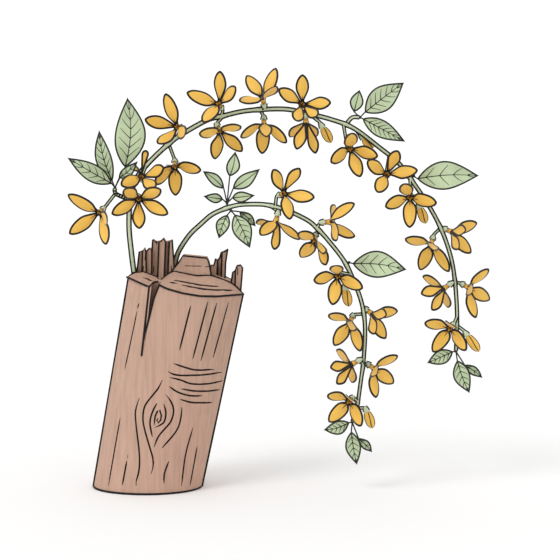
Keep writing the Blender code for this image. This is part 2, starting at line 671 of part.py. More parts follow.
def calyx(seat, axis, collection):
    """The green cup under a flower, its flat rim at the seat."""
    shape = bmesh.new()
    bmesh.ops.create_cone(
        shape,
        cap_ends=True,
        segments=CALYX_SIDES,
        radius1=PEDICEL_RADIUS,
        radius2=CALYX_RADIUS,
        depth=CALYX_LENGTH,
    )
    turn = axis.to_track_quat("Z", "Y").to_matrix().to_4x4()
    bmesh.ops.transform(shape, matrix=turn, verts=shape.verts)
    bmesh.ops.translate(shape, vec=seat - axis * CALYX_LENGTH / 2, verts=shape.verts)
    return mesh_object("calyx", shape, collection)


def pedicel(root, seat, axis, collection):
    """A flower's stalk, from the middle of its stem into its calyx."""
    elbow = seat - axis * CALYX_LENGTH * ELBOW_UNDER_CALYX
    line = [root, seat - axis * CALYX_LENGTH * STALK_IN_CALYX]
    if (elbow - root).length > SHORTEST_STALK and unit(elbow - root).dot(axis) > SHARPEST_ELBOW:
        line.insert(1, elbow)
    return tube("pedicel", line, [PEDICEL_RADIUS] * len(line), 1, collection)


def make_bud(name, bud, collection):
    """A closed bud: a spindle from just above its seat to its tip."""
    seat = on_sheet(*bud.seat)
    tip = on_sheet(*bud.tip)
    axis = unit(tip - seat)
    start = seat + axis * SEAT_GAP
    length = (tip - start).length
    shape = bmesh.new()
    ring = bmesh.ops.create_circle(shape, cap_ends=True, segments=BUD_SIDES, radius=1.0)["verts"]
    _, side, rise = around_axis(axis, axis)
    for along, share in BUD_ROWS:
        if along > 0:
            ring = grown_row(shape, ring, closed=True)
        for index, vert in enumerate(ring):
            turn = index * math.tau / len(ring)
            outward = side * math.cos(turn) + rise * math.sin(turn)
            vert.co = start + axis * length * along + outward * share * BUD_RADIUS
    bmesh.ops.pointmerge(shape, verts=ring, merge_co=tip)
    bmesh.ops.recalc_face_normals(shape, faces=shape.faces)
    return mesh_object(name, shape, collection), seat, axis


def blade(leaf, collection):
    """One leaf's blade, folded a little along its midrib and arched from foot to tip."""
    foot = on_sheet(*leaf.foot)
    tip = on_sheet(*leaf.tip)
    heading = tip - foot
    across = unit(heading.cross(Vector((0.0, 1.0, 0.0))))
    front = unit(across.cross(heading))
    if front.y > 0:
        front = -front
    width = leaf.width * SQUARE
    shape = bmesh.new()
    ring = bmesh.ops.create_grid(shape, x_segments=LEAF_STEPS, y_segments=2, size=1.0)["verts"]
    for vert in ring:
        along = (vert.co.x + 1) / 2
        step = vert.co.y
        half = LEAF_FOOT_HALF_WIDTH * (1 - along) + width / 2 * math.sin(math.pi * along**LEAF_FULLNESS)
        rise = leaf.arch * heading.length * math.sin(math.pi * along) + LEAF_FOLD * abs(step) * half
        aside = step * half + leaf.bow * SQUARE * math.sin(math.pi * along)
        vert.co = foot + heading * along + across * aside + front * rise
    bmesh.ops.remove_doubles(shape, verts=shape.verts, dist=POINTED_END)
    bmesh.ops.triangulate(shape, faces=shape.faces)
    bmesh.ops.recalc_face_normals(shape, faces=shape.faces)
    leaf_object = mesh_object("blade", shape, collection)
    wall = leaf_object.modifiers.new("wall", "SOLIDIFY")
    wall.thickness = BLADE_THICKNESS
    wall.offset = 0.0
    return baked(leaf_object, "blade", collection)


def make_spray(name, hub, leaves, collection):
    """The leaves that leave from one hub, with their stalks, as one body."""
    shape = bmesh.new()
    bmesh.ops.create_icosphere(shape, subdivisions=1, radius=HUB_RADIUS)
    bmesh.ops.translate(shape, vec=on_sheet(*hub), verts=shape.verts)
    body = mesh_object(name, shape, collection)
    pieces = []
    for leaf in leaves:
        knots = [on_sheet(*leaf.stalk), on_sheet(*leaf.foot)]
        knots.append(knots[1] + (on_sheet(*leaf.tip) - knots[1]) * STALK_SUNK)
        pieces.append(tube("stalk", knots, [STALK_RADIUS] * len(knots), 0, collection))
        pieces.append(blade(leaf, collection))
    return combine(body, pieces, "UNION")


def stem_line(name):
    return smooth_line([on_sheet(*place) for place in STEM_LINES[name]], STEM_POINT_SPACING)


def stem_radii(name, line):
    """Radii that taper from the base to the tip."""
    base, tip = STEM_BASE_RADIUS[name], STEM_TIP_RADIUS[name]
    return [base + (tip - base) * index / (len(line) - 1) for index in range(len(line))]


def make_stem(name, seats, collection):
    """One branch with its side twigs, and a stalk and a calyx for each seat of a flower or a bud."""
    line = stem_line(name)
    stem = tube(name, line, stem_radii(name, line), STEM_ROUNDNESS, collection)
    pieces = []
    for knots in TWIGS[name]:
        places = smooth_line([on_sheet(*knot) for knot in knots], TWIG_POINT_SPACING)
        pieces.append(tube("twig", places, [TWIG_RADIUS] * len(places), 1, collection))
        line += places
    for root, seat, axis in seats:
        pieces.append(pedicel(nearest_on(line, root), seat, axis, collection))
        pieces.append(calyx(seat, axis, collection))
    return combine(stem, pieces, "UNION")


def hole(name, collection):
    """The plain hole that a stem stands in, wider and deeper by the gap."""
    line = smooth_line([on_sheet(*place) for place in STEM_LINES[name][:HOLE_KNOTS]], STEM_POINT_SPACING)
    line[0] += unit(line[0] - line[1]) * HOLE_GAP
    radius = STEM_BASE_RADIUS[name] + HOLE_GAP
    return tube("hole", line, [radius] * len(line), STEM_ROUNDNESS + 1, collection)


def paint(parts, material):
    for part in parts:
        part.data.materials.clear()
        part.data.materials.append(material)
        part.data.shade_smooth()


def main():
    clear_scene()
    branch = new_collection("forsythia_branch")
    stump = make_stump(branch, [hole(name, branch) for name in STEM_LINES])
    seats = {name: [] for name in STEM_LINES}
    blooms = []
    for name, bloom in BLOOMS.items():
        made, seat, axis = corolla(name, bloom, branch)
        blooms.append(made)
        seats[bloom.stem].append((bloom.root, seat, axis))
    for name, bud in BUDS.items():
        made, seat, axis = make_bud(name, bud, branch)
        blooms.append(made)
        seats[bud.stem].append((bud.root, seat, axis))
    stems = [make_stem(name, seats[name], branch) for name in STEM_LINES]
    leaves = [make_spray(name, hub, spray, branch) for name, (hub, spray) in SPRAYS.items()]
    paint([stump], principled("old_wood", WOOD_COLOUR, 0.75))
    paint(stems, principled("green_bark", STEM_COLOUR, 0.5))
    paint(blooms, principled("golden_petal", PETAL_COLOUR, 0.55))
    paint(leaves, principled("leaf_green", LEAF_COLOUR, 0.5))


main()
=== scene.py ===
"""Dresses a broken stump with two arching forsythia branches in flower.

Units are metres, +Z is up and the front looks towards -Y. The front view is laid out on a sheet of squares,
counted from its top left corner: a place given as (across, down) counts those squares, and one given as
(across, down, depth) adds how far it lies behind the sheet, in millimetres.
"""

import math
import random
from typing import NamedTuple

import bmesh
import bpy
import numpy as np
from bpy.props import FloatProperty, FloatVectorProperty, PointerProperty
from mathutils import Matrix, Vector, noise


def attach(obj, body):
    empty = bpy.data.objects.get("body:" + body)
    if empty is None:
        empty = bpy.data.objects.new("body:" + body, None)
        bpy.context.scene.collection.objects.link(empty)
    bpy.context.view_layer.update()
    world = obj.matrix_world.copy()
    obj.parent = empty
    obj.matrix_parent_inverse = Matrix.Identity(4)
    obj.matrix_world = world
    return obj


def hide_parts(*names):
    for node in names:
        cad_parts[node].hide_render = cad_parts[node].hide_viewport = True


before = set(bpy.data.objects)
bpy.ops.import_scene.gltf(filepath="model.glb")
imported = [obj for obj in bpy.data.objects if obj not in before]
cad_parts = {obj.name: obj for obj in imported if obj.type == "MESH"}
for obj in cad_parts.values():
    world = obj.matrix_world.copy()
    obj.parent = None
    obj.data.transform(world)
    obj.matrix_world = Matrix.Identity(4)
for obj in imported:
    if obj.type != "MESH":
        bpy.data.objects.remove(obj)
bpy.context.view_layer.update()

bl_info = {
    "name": "Forsythia Branch",
    "version": (1, 0, 0),
    "blender": (4, 5, 0),
    "location": "3D View > Sidebar > Forsythia",
    "description": "Builds a flowering forsythia branch on its old stump",
    "category": "Add Mesh",
}

MM = 0.001
BODY = "root"

# The sheet that the front view is laid out on
STUMP_WIDTH = 75.9 * MM
STUMP_WIDTH_IN_SQUARES = 108.4
SQUARE = STUMP_WIDTH / STUMP_WIDTH_IN_SQUARES
SHEET_SQUARES = 560
BASE_ACROSS = 146.4
BASE_DOWN = 489.5
EYE = Vector((0.0935, -1.6, 0.312))


def on_sheet(across, down, depth=0.0):
    """The point on the line of sight through a place on the sheet, that many millimetres behind it."""
    front = Vector(((across - BASE_ACROSS) * SQUARE, 0.0, (BASE_DOWN - down) * SQUARE))
    return front + (front - EYE) * (depth * MM / -EYE.y)


# Stems, from the foot of the hole in the stump to the tip
STEM_LINES = {
    "stem_upper": (
        (137.5, 292, 3), (134, 272, 3), (131, 247, 3), (129.5, 230, 2), (129.7, 212, 1), (131.5, 197, 1),
        (136, 180, 1), (148.9, 163.3, 1), (169.4, 143.8, 2), (183.3, 133.9, 2), (207.2, 120.6, 3),
        (221.7, 116.7, 4), (247.2, 111.1, 5), (282.8, 109.4, 8), (305, 113.3, 9), (331.7, 120, 10),
        (353.9, 128.9, 11), (380.6, 148.9, 12), (397.2, 162.2, 13), (409.4, 177.8, 13), (428.3, 205.6, 13),
        (441.5, 230.5, 12), (450.7, 257.1, 11), (455, 281.8, 10), (457.3, 312.9, 9), (456.9, 334, 7.5),
        (456.6, 351.4, 6),
    ),
    "stem_lower": (
        (171.5, 290, 24), (173.4, 272, 23), (176.1, 258.9, 21), (180, 249, 19), (190, 234.4, 13),
        (201, 223.9, 8), (212.2, 214.4, 3), (226.5, 208, -2), (239, 204.7, -6), (252, 204, -9),
        (266.5, 204.7, -12), (285, 209.5, -15), (306.5, 219.5, -17), (316.7, 227.8, -18), (328.9, 241.1, -19),
        (345, 262.5, -20), (357.5, 290, -21), (363.5, 311, -21), (365.3, 333.3, -20), (363.7, 363, -19),
        (361.7, 378.3, -18), (358, 405, -17), (355.3, 414.5, -16.4), (352.9, 423.2, -15.7),
    ),
}

# Short side twigs that carry leaves, from the stem outwards
TWIGS = {
    "stem_upper": (
        ((130.5, 200, 1), (126.7, 198.3, 1), (116.1, 193.3, 0), (115.7, 188.2, 0)),
        ((345.6, 124.5, 11), (351.7, 117.8, 11), (359, 117.7, 11)),
    ),
    "stem_lower": (),
}

SCARRED_TWIG = TWIGS["stem_upper"][0]

# Places on each stem where a leaf or a pair of stalks leaves it
NODES = {
    "stem_upper": (
        (131, 200), (169.4, 143.8), (222, 116.7), (258.3, 110.5), (304, 113), (345, 124), (409.4, 177.8),
        (440.5, 229.5), (455, 282), (457.4, 326),
    ),
    "stem_lower": (
        (226.5, 208), (272, 206), (316.7, 227.8), (346, 262.5), (363.5, 311), (363.7, 363), (358, 403),
    ),
}


class Bloom(NamedTuple):
    """One flower: its stem, where its stalk leaves that stem, its throat and the tips of its petals."""

    stem: str
    root: tuple
    throat: tuple
    near: tuple
    far: tuple = ()


UPPER = "stem_upper"
LOWER = "stem_lower"

# The tips in near lean towards the viewer and those in far lean away
BLOOMS = {
    "bloom_01": Bloom(UPPER, (116.5, 194), (99.4, 212.8, -4),
                      ((70.6, 194.4), (71.7, 232.2), (107.8, 241.7), (110, 220))),
    "bloom_02": Bloom(UPPER, (146, 166), (142.2, 176.1, -8),
                      ((147.2, 150.6), (164.4, 166.7), (123.9, 183.9), (156.1, 186.1)), ((129, 168),)),
    "bloom_03": Bloom(UPPER, (131, 199), (139.4, 199.4, -15.5),
                      ((114.4, 212.2), (140.6, 226.1), (167.8, 212.8), (161.7, 188.3), (127.2, 187.8))),
    "bloom_04": Bloom(UPPER, (169.4, 145.6), (175.6, 166.7, 0),
                      ((157.2, 182.2), (201.1, 168.9), (173.3, 163.9)), ((175.6, 195),)),
    "bloom_05": Bloom(UPPER, (178, 137), (177.2, 126.7, -8),
                      ((167.2, 95), (147.8, 119.4), (160.6, 142.2), (186, 135))),
    "bloom_06": Bloom(UPPER, (221.7, 116.7), (218.9, 103.9, -4),
                      ((220.8, 72.8), (188.9, 93.3), (205, 121.1), (236.1, 87.8))),
    "bloom_07": Bloom(UPPER, (223.3, 117), (220.3, 132.2, 0),
                      ((201.4, 132.2), (240.6, 125.6)), ((215, 158.9), (241.7, 151.1))),
    "bloom_08": Bloom(UPPER, (258.3, 110), (262.8, 98.3, 2),
                      ((241.1, 101.1), (276.1, 86.7)), ((247.2, 77.2), (275.6, 70))),
    "bloom_09": Bloom(UPPER, (258.3, 110), (264, 125.5, 4),
                      ((241.7, 136.1), (286.1, 141.7), (266.7, 135.6)), ((262.2, 153.3),)),
    "bloom_10": Bloom(UPPER, (303, 113), (302.2, 104.4, -3),
                      ((302.2, 76.1), (279.4, 90), (329.4, 102.8), (296.1, 120), (316.1, 115.6))),
    "bloom_11": Bloom(UPPER, (302.8, 113), (305.6, 123.3, 8),
                      ((296.7, 147.8), (315, 152.2)), ((290.6, 137.8), (315.6, 137.8))),
    "bloom_12": Bloom(UPPER, (343.3, 124.5), (350, 149.4, 2),
                      ((350.6, 132.8), (330.6, 160.6), (359.4, 175.6), (376.1, 155.6))),
    "bloom_13": Bloom(UPPER, (390, 156), (386.7, 173.9, 1),
                      ((366.7, 160.6), (396.1, 150.6), (415.6, 170), (376.1, 190))),
    "bloom_14": Bloom(UPPER, (409.4, 177.8), (409.4, 197.8, 3),
                      ((401.7, 182.8), (385, 205), (408.9, 226.1), (434.4, 201.7))),
    "bloom_15": Bloom(UPPER, (441, 229), (430.7, 244.5, 8),
                      ((405, 237.1), (447.9, 270), (431, 247)), ((421.4, 270.7),)),
    "bloom_16": Bloom(UPPER, (441.5, 230.5), (452, 232, 10),
                      ((463, 227.9), (456.4, 246.4)), ((476.9, 224.3), (470.7, 252.9))),
    "bloom_17": Bloom(UPPER, (455, 281.8), (443.6, 288.6, 8),
                      ((421, 292.1), (431.4, 307.9)), ((424.3, 278.6), (449, 309.3))),
    "bloom_18": Bloom(UPPER, (455, 283), (469.3, 288, 9),
                      ((486.4, 267.9), (475, 316.4), (470, 289)), ((490.7, 301.4),)),
    "bloom_19": Bloom(UPPER, (457.3, 318), (450, 329.3, -2),
                      ((425, 321.4), (465, 347.9), (448.6, 320.7)), ((434.3, 352.9),)),
    "bloom_20": Bloom(LOWER, (273.9, 206.7), (284.4, 192.8, -24),
                      ((273.3, 169.4), (298.9, 168.3), (313.3, 196.7), (289.4, 217.2))),
    "bloom_21": Bloom(LOWER, (269.4, 205), (276, 221.5, -14),
                      ((261.1, 232.8), (298.9, 238.3)), ((256.7, 225), (274.4, 249.4))),
    "bloom_22": Bloom(LOWER, (316.7, 227.8), (314.4, 241, -18),
                      ((299.4, 230.6), (325.6, 262.8), (322.2, 251.1)), ((301.1, 258.3),)),
    "bloom_23": Bloom(LOWER, (316, 227), (330.6, 221.8, -18),
                      ((353.3, 203.3), (336.1, 237.8)), ((354.4, 236.7), (335.6, 207.2))),
    "bloom_24": Bloom(LOWER, (350, 271), (337.5, 276.7, -30),
                      ((335, 263.3), (314.2, 278.3), (332.5, 303.3), (361.7, 286.7))),
    "bloom_25": Bloom(LOWER, (363, 309), (350, 322.5, -22),
                      ((329.2, 312.5), (360.3, 350), (350, 327)), ((335, 346.7),)),
    "bloom_26": Bloom(LOWER, (363.5, 311), (372.5, 314.5, -22),
                      ((385, 312.5), (374.2, 330.8)), ((397.8, 313.3), (385.8, 339.2))),
    "bloom_27": Bloom(LOWER, (363.7, 362), (352, 365, -20),
                      ((330.8, 365.8), (337, 381.7)), ((337.5, 354.2), (352.5, 385.8))),
    "bloom_28": Bloom(LOWER, (363.7, 363), (375, 370, -19),
                      ((396.7, 355), (375.8, 396.7), (376, 371)), ((394.2, 385.8),)),
    "bloom_29": Bloom(LOWER, (359, 400), (349.2, 403.3, -26),
                      ((328.3, 393.3), (360.8, 424.2), (350, 395.8)), ((330, 424.2),)),
}


class Bud(NamedTuple):
    """One closed bud: the stem that carries it, where its stalk leaves that stem, its seat and its tip."""

    stem: str
    root: tuple
    seat: tuple
    tip: tuple


BUDS = {
    "bud_01": Bud(UPPER, (307, 113.6), (321.7, 126.7, 9), (331.1, 142.8, 9)),
    "bud_02": Bud(UPPER, (421, 194), (418.9, 206.7, 12), (425.6, 223.3, 12)),
    "bud_03": Bud(UPPER, (457, 328), (467.1, 335, 8), (480, 352.1, 6)),
    "bud_04": Bud(LOWER, (353.5, 281), (345, 288.3, -22), (349.2, 306.7, -22)),
    "bud_05": Bud(LOWER, (358, 404), (366.7, 411.7, -17), (373.3, 430, -17)),
    "bud_06": Bud(UPPER, (358, 131.5), (362, 137.5, 17), (373, 148, 18)),
}


class Leaf(NamedTuple):
    """One leaf: its width in squares, the foot and the tip of its blade, its pairs of veins, how far it
    bows to its left, in squares, and its arch."""

    width: float
    foot: tuple
    tip: tuple
    veins: int = 5
    bow: float = 0.0
    arch: float = 0.06


# The places of each spray's leaves, which all leave from its hub
SPRAYS = {
    "leaves_left_spray": (
        (115.7, 187.6, 0),
        (
            Leaf(17.5, (112.2, 183.3, -1), (68.7, 157.8, -8), 5),
            Leaf(16, (112.8, 180.5, 1), (100.3, 130.6, 4), 6, 2.4),
            Leaf(30.5, (126.0, 167.0, 4), (128.6, 98.3, 8), 6, -4.6),
            Leaf(10, (120, 177.8, -2), (138.3, 161.5, -8), 4, -1.0),
        ),
    ),
    "leaves_top_spray": (
        (359.5, 117.7, 11),
        (
            Leaf(13, (353.5, 112, 12), (358.9, 90.6, 14), 0),
            Leaf(24.5, (364.5, 112.5, 10), (402.8, 83.3, 6), 6, 0.6),
            Leaf(17, (362.5, 119.2, 10), (404.4, 141.7, 2), 7),
        ),
    ),
    "leaf_upper": (
        (413.2, 176, 13),
        (Leaf(28, (417, 178.6, 12), (477.8, 175.6, 6), 4, 2.6, 0.1),),
    ),
    "leaves_upper_tip": (
        (456.6, 352.1, 6),
        (
            Leaf(14.5, (453.2, 352.3, 6), (427.9, 363.6, 8), 5),
            Leaf(16.5, (458, 361.5, 5), (470.4, 394, 2), 5, -1.2),
            Leaf(8.5, (465.5, 366, 7), (483.1, 378.6, 10), 3, 0.8),
        ),
    ),
    "leaves_sprout": (
        (227.2, 203.2, -2),
        (
            Leaf(10.5, (223.9, 188, -1), (203.3, 171.1, 2), 0, -1.3),
            Leaf(13, (230, 176, -3), (235.6, 151.7, -5), 0, -1.2),
            Leaf(13, (233.5, 188.3, -4), (260, 168.9, -9), 0, -0.7),
            Leaf(9.5, (222.6, 199, -1), (203.9, 196.1, -8), 0),
            Leaf(10.5, (232.8, 197.6, -3), (254.8, 195.3, -12), 0),
        ),
    ),
    "leaves_under_hub": (
        (231, 210.5, -4),
        (
            Leaf(13, (227.4, 215, -5), (218.9, 238.3, -8), 4, -1.0),
            Leaf(18.5, (235, 214.8, -6), (250, 247.8, -12), 5, 1.0),
            Leaf(9, (240, 211.6, -3), (255.6, 226.1, 2), 3, 1.0),
        ),
    ),
    "leaf_lower": (
        (348.9, 262.4, -20),
        (Leaf(26, (353, 263.4, -20), (406.3, 269.6, -24), 5, 2.6, 0.08),),
    ),
    "leaves_lower_tip": (
        (352.7, 423.9, -15.6),
        (
            Leaf(13.5, (349.4, 424.4, -15.2), (324.2, 431.7, -13), 5, 1.5),
            Leaf(15, (351.8, 434, -15), (357.5, 467, -18), 5, -0.6),
            Leaf(8.5, (359.2, 440.6, -14), (372.5, 454.2, -10), 3, 0.8),
        ),
    ),
}

# The stump's broken top: the edge that faces the viewer, and the ridge behind it
TOP_FRONT_EDGE = (
    (128.3, 277.2), (148.9, 286.1), (160, 284.4), (169.4, 288.9), (185, 293.3), (201.7, 296.1),
    (218.3, 296.4), (243.3, 294.4),
)
TOP_RIDGE = (
    (128.3, 277.2), (133.3, 272.8), (143.9, 272.2), (157.2, 277.2), (160, 281), (172.2, 271.1),
    (196, 275.8), (212.2, 275.6), (229.4, 282.2), (236.1, 286.7), (243.3, 294.4),
)
CRACK_OUTLINE = (
    (148.4, 262), (149.2, 286.7), (146.1, 313.3), (141.1, 356.7), (143.9, 336.7), (147.8, 322),
    (152.8, 302), (159.4, 284.4), (161, 262),
)
CRACK_REACH = (-60, -13)
PLUG_OUTLINE = (
    (172.4, 284), (172.2, 270.6), (178.3, 263.3), (182.6, 256.4), (206.7, 258.7), (208.9, 263.3),
    (211.1, 275), (211.5, 284),
)
PLUG_REACH = (0, 15)
PLUG_LEAN_BACK = 0.3
SPLINTERS = (
    (((134.8, 290), (139.4, 251.7), (142.8, 250.6), (142.4, 290)), (8, 14)),
    (((141.4, 290), (142.6, 250.9), (145, 247.8), (145.9, 251.4), (147, 290)), (5, 12)),
    (((146, 290), (146.2, 251.5), (149.4, 248.3), (152, 249.3), (151.5, 290)), (7, 15)),
    (((148.9, 292), (153, 239.4), (156, 241.9), (159.8, 241.3), (158.5, 292)), (10, 20)),
    (((157, 292), (159.2, 241.6), (161.2, 241), (163.6, 238.3), (165.8, 242), (163.5, 292)), (6, 17)),
    (((162, 292), (164.8, 242), (170, 241.1), (168.5, 292)), (9, 20)),
    (((167, 292), (169.5, 241.4), (172.4, 239.8), (173.9, 261.1), (174.4, 268), (172.5, 292)), (7, 17)),
    (((209.8, 286), (210.6, 265.3), (213.9, 265.6), (215.6, 258.7), (217.6, 261.2), (218, 288)), (14, 23)),
    (((216.5, 288), (217.2, 261.1), (220, 257.2), (221.4, 252.2), (222.8, 251.9), (222.4, 288)), (17, 26)),
    (((221, 290), (222, 252.2), (225, 251.1), (227.8, 248.9), (225.6, 263.3), (224.8, 290)), (15, 24)),
    (((229.4, 294), (232.8, 272.2), (235.6, 270), (236.4, 298)), (3, 9)),
    (((234.8, 298), (235.4, 270.2), (237.2, 265.6), (240.6, 265), (242.6, 267.8), (240, 300)), (1, 8)),
)

# Lines of the grain and of the knot in the stump's front
GRAIN_LINES = (
    ((139.2, 303), (137.2, 308.8)),
    ((136.9, 311), (123.9, 370.6)),
    ((190.6, 306), (179.2, 350.8)),
    ((207.8, 302), (192.4, 360)),
    ((216.7, 303), (200.6, 361.5)),
    ((228.7, 302), (212.8, 358.5)),
    ((173.1, 364.2), (185, 368.3), (196.1, 370.9), (213.9, 370.2)),
    ((167.4, 372.4), (177.2, 376.1), (201.7, 375.8), (221.4, 373.1)),
    ((169.1, 378.3), (180.6, 381.1), (190.6, 384.8), (207.2, 384.8), (224.4, 381.3)),
    ((168.6, 387.4), (177.2, 393.3), (189.4, 396.9), (201.9, 397)),
    ((180.3, 389.8), (192.8, 392), (207.2, 392.2), (220, 390.6)),
    ((179.4, 400.6), (190.6, 403.7), (201.7, 404.1), (211.7, 403.8)),
    ((161.9, 380.9), (157.2, 390), (150, 398.9), (143.9, 407.8), (142, 420), (143.9, 432.2), (148.3, 447.8),
     (151.7, 460), (152, 468.9), (149.8, 476.9)),
    ((165.2, 395.8), (170.6, 403.3), (173, 412.2), (170, 423.3), (160.6, 434.4), (156.7, 440), (153, 449.4)),
    ((156.4, 404.4), (151.7, 413.3), (149.1, 424.4), (151.4, 438.9)),
    ((163.1, 405), (165.2, 414.4), (162.8, 424.4), (154.4, 429.1)),
    ((153.3, 426.7), (154.4, 417.8), (156.7, 412.8), (158.9, 411.1), (160.6, 416.7), (160, 421.7),
     (157.2, 424.7), (156.1, 422.2), (157.4, 419.4)),
    ((181.3, 408.3), (180.6, 417.8), (176.1, 432.2), (161.1, 450.2)),
    ((138.7, 398.9), (134.7, 412.2), (135, 424.4), (138.3, 456.7), (137.8, 473.3), (134.8, 484.4),
     (134.8, 489)),
    ((119.2, 419.1), (106.9, 489)),
    ((126.8, 457.2), (126.3, 460.6)),
    ((125.6, 463.1), (120.8, 488.3)),
    ((168, 463.6), (163.3, 476.7), (163.1, 486.4)),
    ((192.4, 429.4), (185, 456.7), (180.6, 488.9)),
    ((196.7, 448.3), (189.1, 488.9)),
)

# The crack's two edges on the front, from the rim down, and how far across from them the rim is cut open
CRACK_EDGES = (
    ((149.2, 286.7), (146.1, 313.3), (141.1, 356.7)),
    ((159.4, 284.4), (152.8, 302), (147.8, 322), (143.9, 336.7), (141.1, 356.7)),
)
RIM_SHIFT = 0.4

# Lines on the front slope of the broken top
TOP_LINES = (
    ((160, 281), (153.3, 282.8), (148.9, 286.1)),
    ((173.9, 280.3), (190, 283.5), (207, 286.2), (220.6, 286.7)),
    ((169.4, 282.2), (177.2, 283.9)),
    ((181.7, 285), (195, 288), (213, 290.2), (232.8, 290.4)),
    ((143, 277.7), (152, 280.8)),
)

# Short lines on what stands on the break
STANDING_LINES = (
    ((143.5, 266, 5), (143, 272, 5)),
    ((145.8, 252, 5), (145, 260, 5)),
    ((154, 266, 10), (153.5, 272, 10)),
    ((156.5, 240.5, 10), (156.8, 244, 10)),
    ((171.5, 265.5, 7), (171.5, 270, 7)),
    ((217, 266, 14), (216.5, 277.5, 14)),
    ((237.8, 268, 1), (237.5, 275, 1)),
    ((235.8, 279.5, 1), (234.5, 286, 1)),
    ((185, 265.8, 3.8), (201.7, 266.1, 3.7)),
    ((205, 266.9, 3.6), (209.6, 266.3, 3.7)),
)

# The stump at its foot and at its broken top, and how far it leans aside for each unit of height
STUMP_DEPTH = 64.0 * MM
STUMP_TOP_WIDTH = 81.5 * MM
STUMP_TOP_DEPTH = 68.0 * MM
STUMP_TOP = 140.0 * MM
STUMP_LEAN = 0.194

# The rows of faces up the stump's side and in over its top, as shares of the way, and its roughness there
STUMP_SIDES = 168
SIDE_ROWS = (0.0, 0.005, *(index / 40 for index in range(1, 40)), 0.995, 1.0)
TOP_ROWS = (0.985, 0.93, 0.86, 0.79, 0.72, 0.65, 0.58, 0.5, 0.42, 0.34, 0.26, 0.18, 0.1)
TOP_ROUGHNESS = 0.5
TOP_GRIT = 260
RELIEF_EASE = 12
SHARP_ANGLE = math.radians(35)

# The flutes of the side: how much they change round it and up it, and the scale and weight of each noise
FLUTES = 3.0
FLUTE_RISE = 0.9
FLUTE_NOISE = ((2.2, 1.0), (7.0, 0.4))

# The grain of the back: its lines, the degrees between them, and where up the side each starts and ends
BACK_LINES = 26
BACK_SPREAD = 172
BACK_FIRST = 8
BACK_STARTS = (0.02, 0.12, 0.3, 0.45)
BACK_LENGTHS = (0.25, 0.6)
BACK_END = 0.95
BACK_STEPS = 12
BACK_SWAY = 0.02

# How a place on the sheet is found on the stump: the depths that are tried, in millimetres, and the rounds
FRONT_DEPTH = -20.0
FRONT_ROUNDS = 6
FRONT_WIDEST = 0.985
SLOPE_DEPTHS = (-36.0, 0.0)
SLOPE_ROUNDS = 20

# The squares between the points of a line on the sheet
SHEET_STEP = 4.0

# The three directions, how nearly backwards a line may run before its tube takes its side from another
# one, and a direction that no flower looks in
RIGHTWARDS = Vector((1.0, 0.0, 0.0))
BACKWARDS = Vector((0.0, 1.0, 0.0))
UPWARDS = Vector((0.0, 0.0, 1.0))
MOSTLY_BACK = 0.9
SKEW = Vector((0.31, 0.17, 0.94))

# Dark ridges: how much of their radius shows beside what they follow, and how much a line has to run
# across the view for them to turn with it
EDGE_STANDS_OUT = 0.6
LEAST_ACROSS = 0.15

# The stump's ridges: where up the side they start, how much heavier they are, and the steps along them
SIDE_EDGE_START = 0.002
HEAVY_EDGE = 1.25
SIDE_STEPS = 40
RIM_STEPS = 90
FOOT_STEPS = 120

# The ridges of twigs and stalks and the strokes on splinters, as shares of the full radius
TWIG_EDGE = 0.9
STALK_EDGE = 0.8
STROKE_SHARE = 0.5

# The thin ends of a line: the radius there, and how far in the full radius is reached, as shares
END_RADIUS = 0.35
END_SHARE = 0.12

# The places of a piece's materials after its own, and the sides of its tubes
INK = 1
POLLEN = 2
LINE_SIDES = 6
EDGE_SIDES = 8
TWIG_SIDES = 10
STEM_SIDES = 14
BUD_SIDES = 20

# A petal's rows: how far along it each lies, and its share of the full width, and how the petal is shaped
PETAL_ROWS = (
    (0.1, 0.66), (0.22, 0.86), (0.38, 0.98), (0.55, 1.03),
    (0.7, 1.0), (0.83, 0.88), (0.93, 0.66), (1.0, 0.34),
)
PETAL_FOOT_SHARE = 0.5
PETAL_TIP_POINT = 0.055
PETAL_TIP_POWER = 6
PETAL_TWIST = 0.8
LEAST_TWIST = 0.3
LEAST_CROSSING = 0.05
PETAL_COLUMNS = 4
PETAL_BEND = 0.16
PETAL_REACH = 2.5 * MM
PETAL_CUP = 0.22
PETAL_SPARE_LENGTH = 1.03
PETAL_ROOM = 0.95
WIDEST_ROOM = math.radians(60)
THROAT_ON_MAP = 0.2

# A funnel's rows: how far along it each lies, and its share of the way from its foot's radius to its throat's
FUNNEL_ROWS = ((0.0, 0.0), (0.5, 0.15), (1.0, 1.0))

# The ridges beside a funnel: their radius, the places along it that they pass, and where they end
FUNNEL_EDGE = 0.36 * MM
FUNNEL_EDGE_PLACES = (0.5, 0.85)
FUNNEL_EDGE_END = 0.9

# The strokes in a throat: where each lies across the petal and its length, and their radii in millimetres
THROAT_LINES = ((-0.5, 0.22), (0.0, 0.34), (0.5, 0.24))
THROAT_LINE_RADII = (0.3, 0.34, 0.31, 0.24, 0.1)

# How much the strokes' lengths vary, where they start, how they fan out, and how many millimetres they rise
THROAT_LINE_CHANCE = (0.8, 1.2)
THROAT_LINE_START = 0.02
THROAT_LINE_FAN = (0.4, 0.6)
THROAT_LINE_RISE = 0.1

# An anther's rows along the flower's axis and their radii, in millimetres
ANTHER_ROWS = ((-0.4, 0.12), (0.0, 0.28), (0.5, 0.26), (0.8, 0.1))
ANTHER_SHIFTS = (-0.8 * MM, 0.8 * MM)

# A filament, in millimetres: how far below the throat it starts and ends, and its radius
FILAMENT_START = 3.5
FILAMENT_END = 0.2
FILAMENT_RADIUS = 0.2
POLLEN_COLOUR = (0.78, 0.38, 0.04)

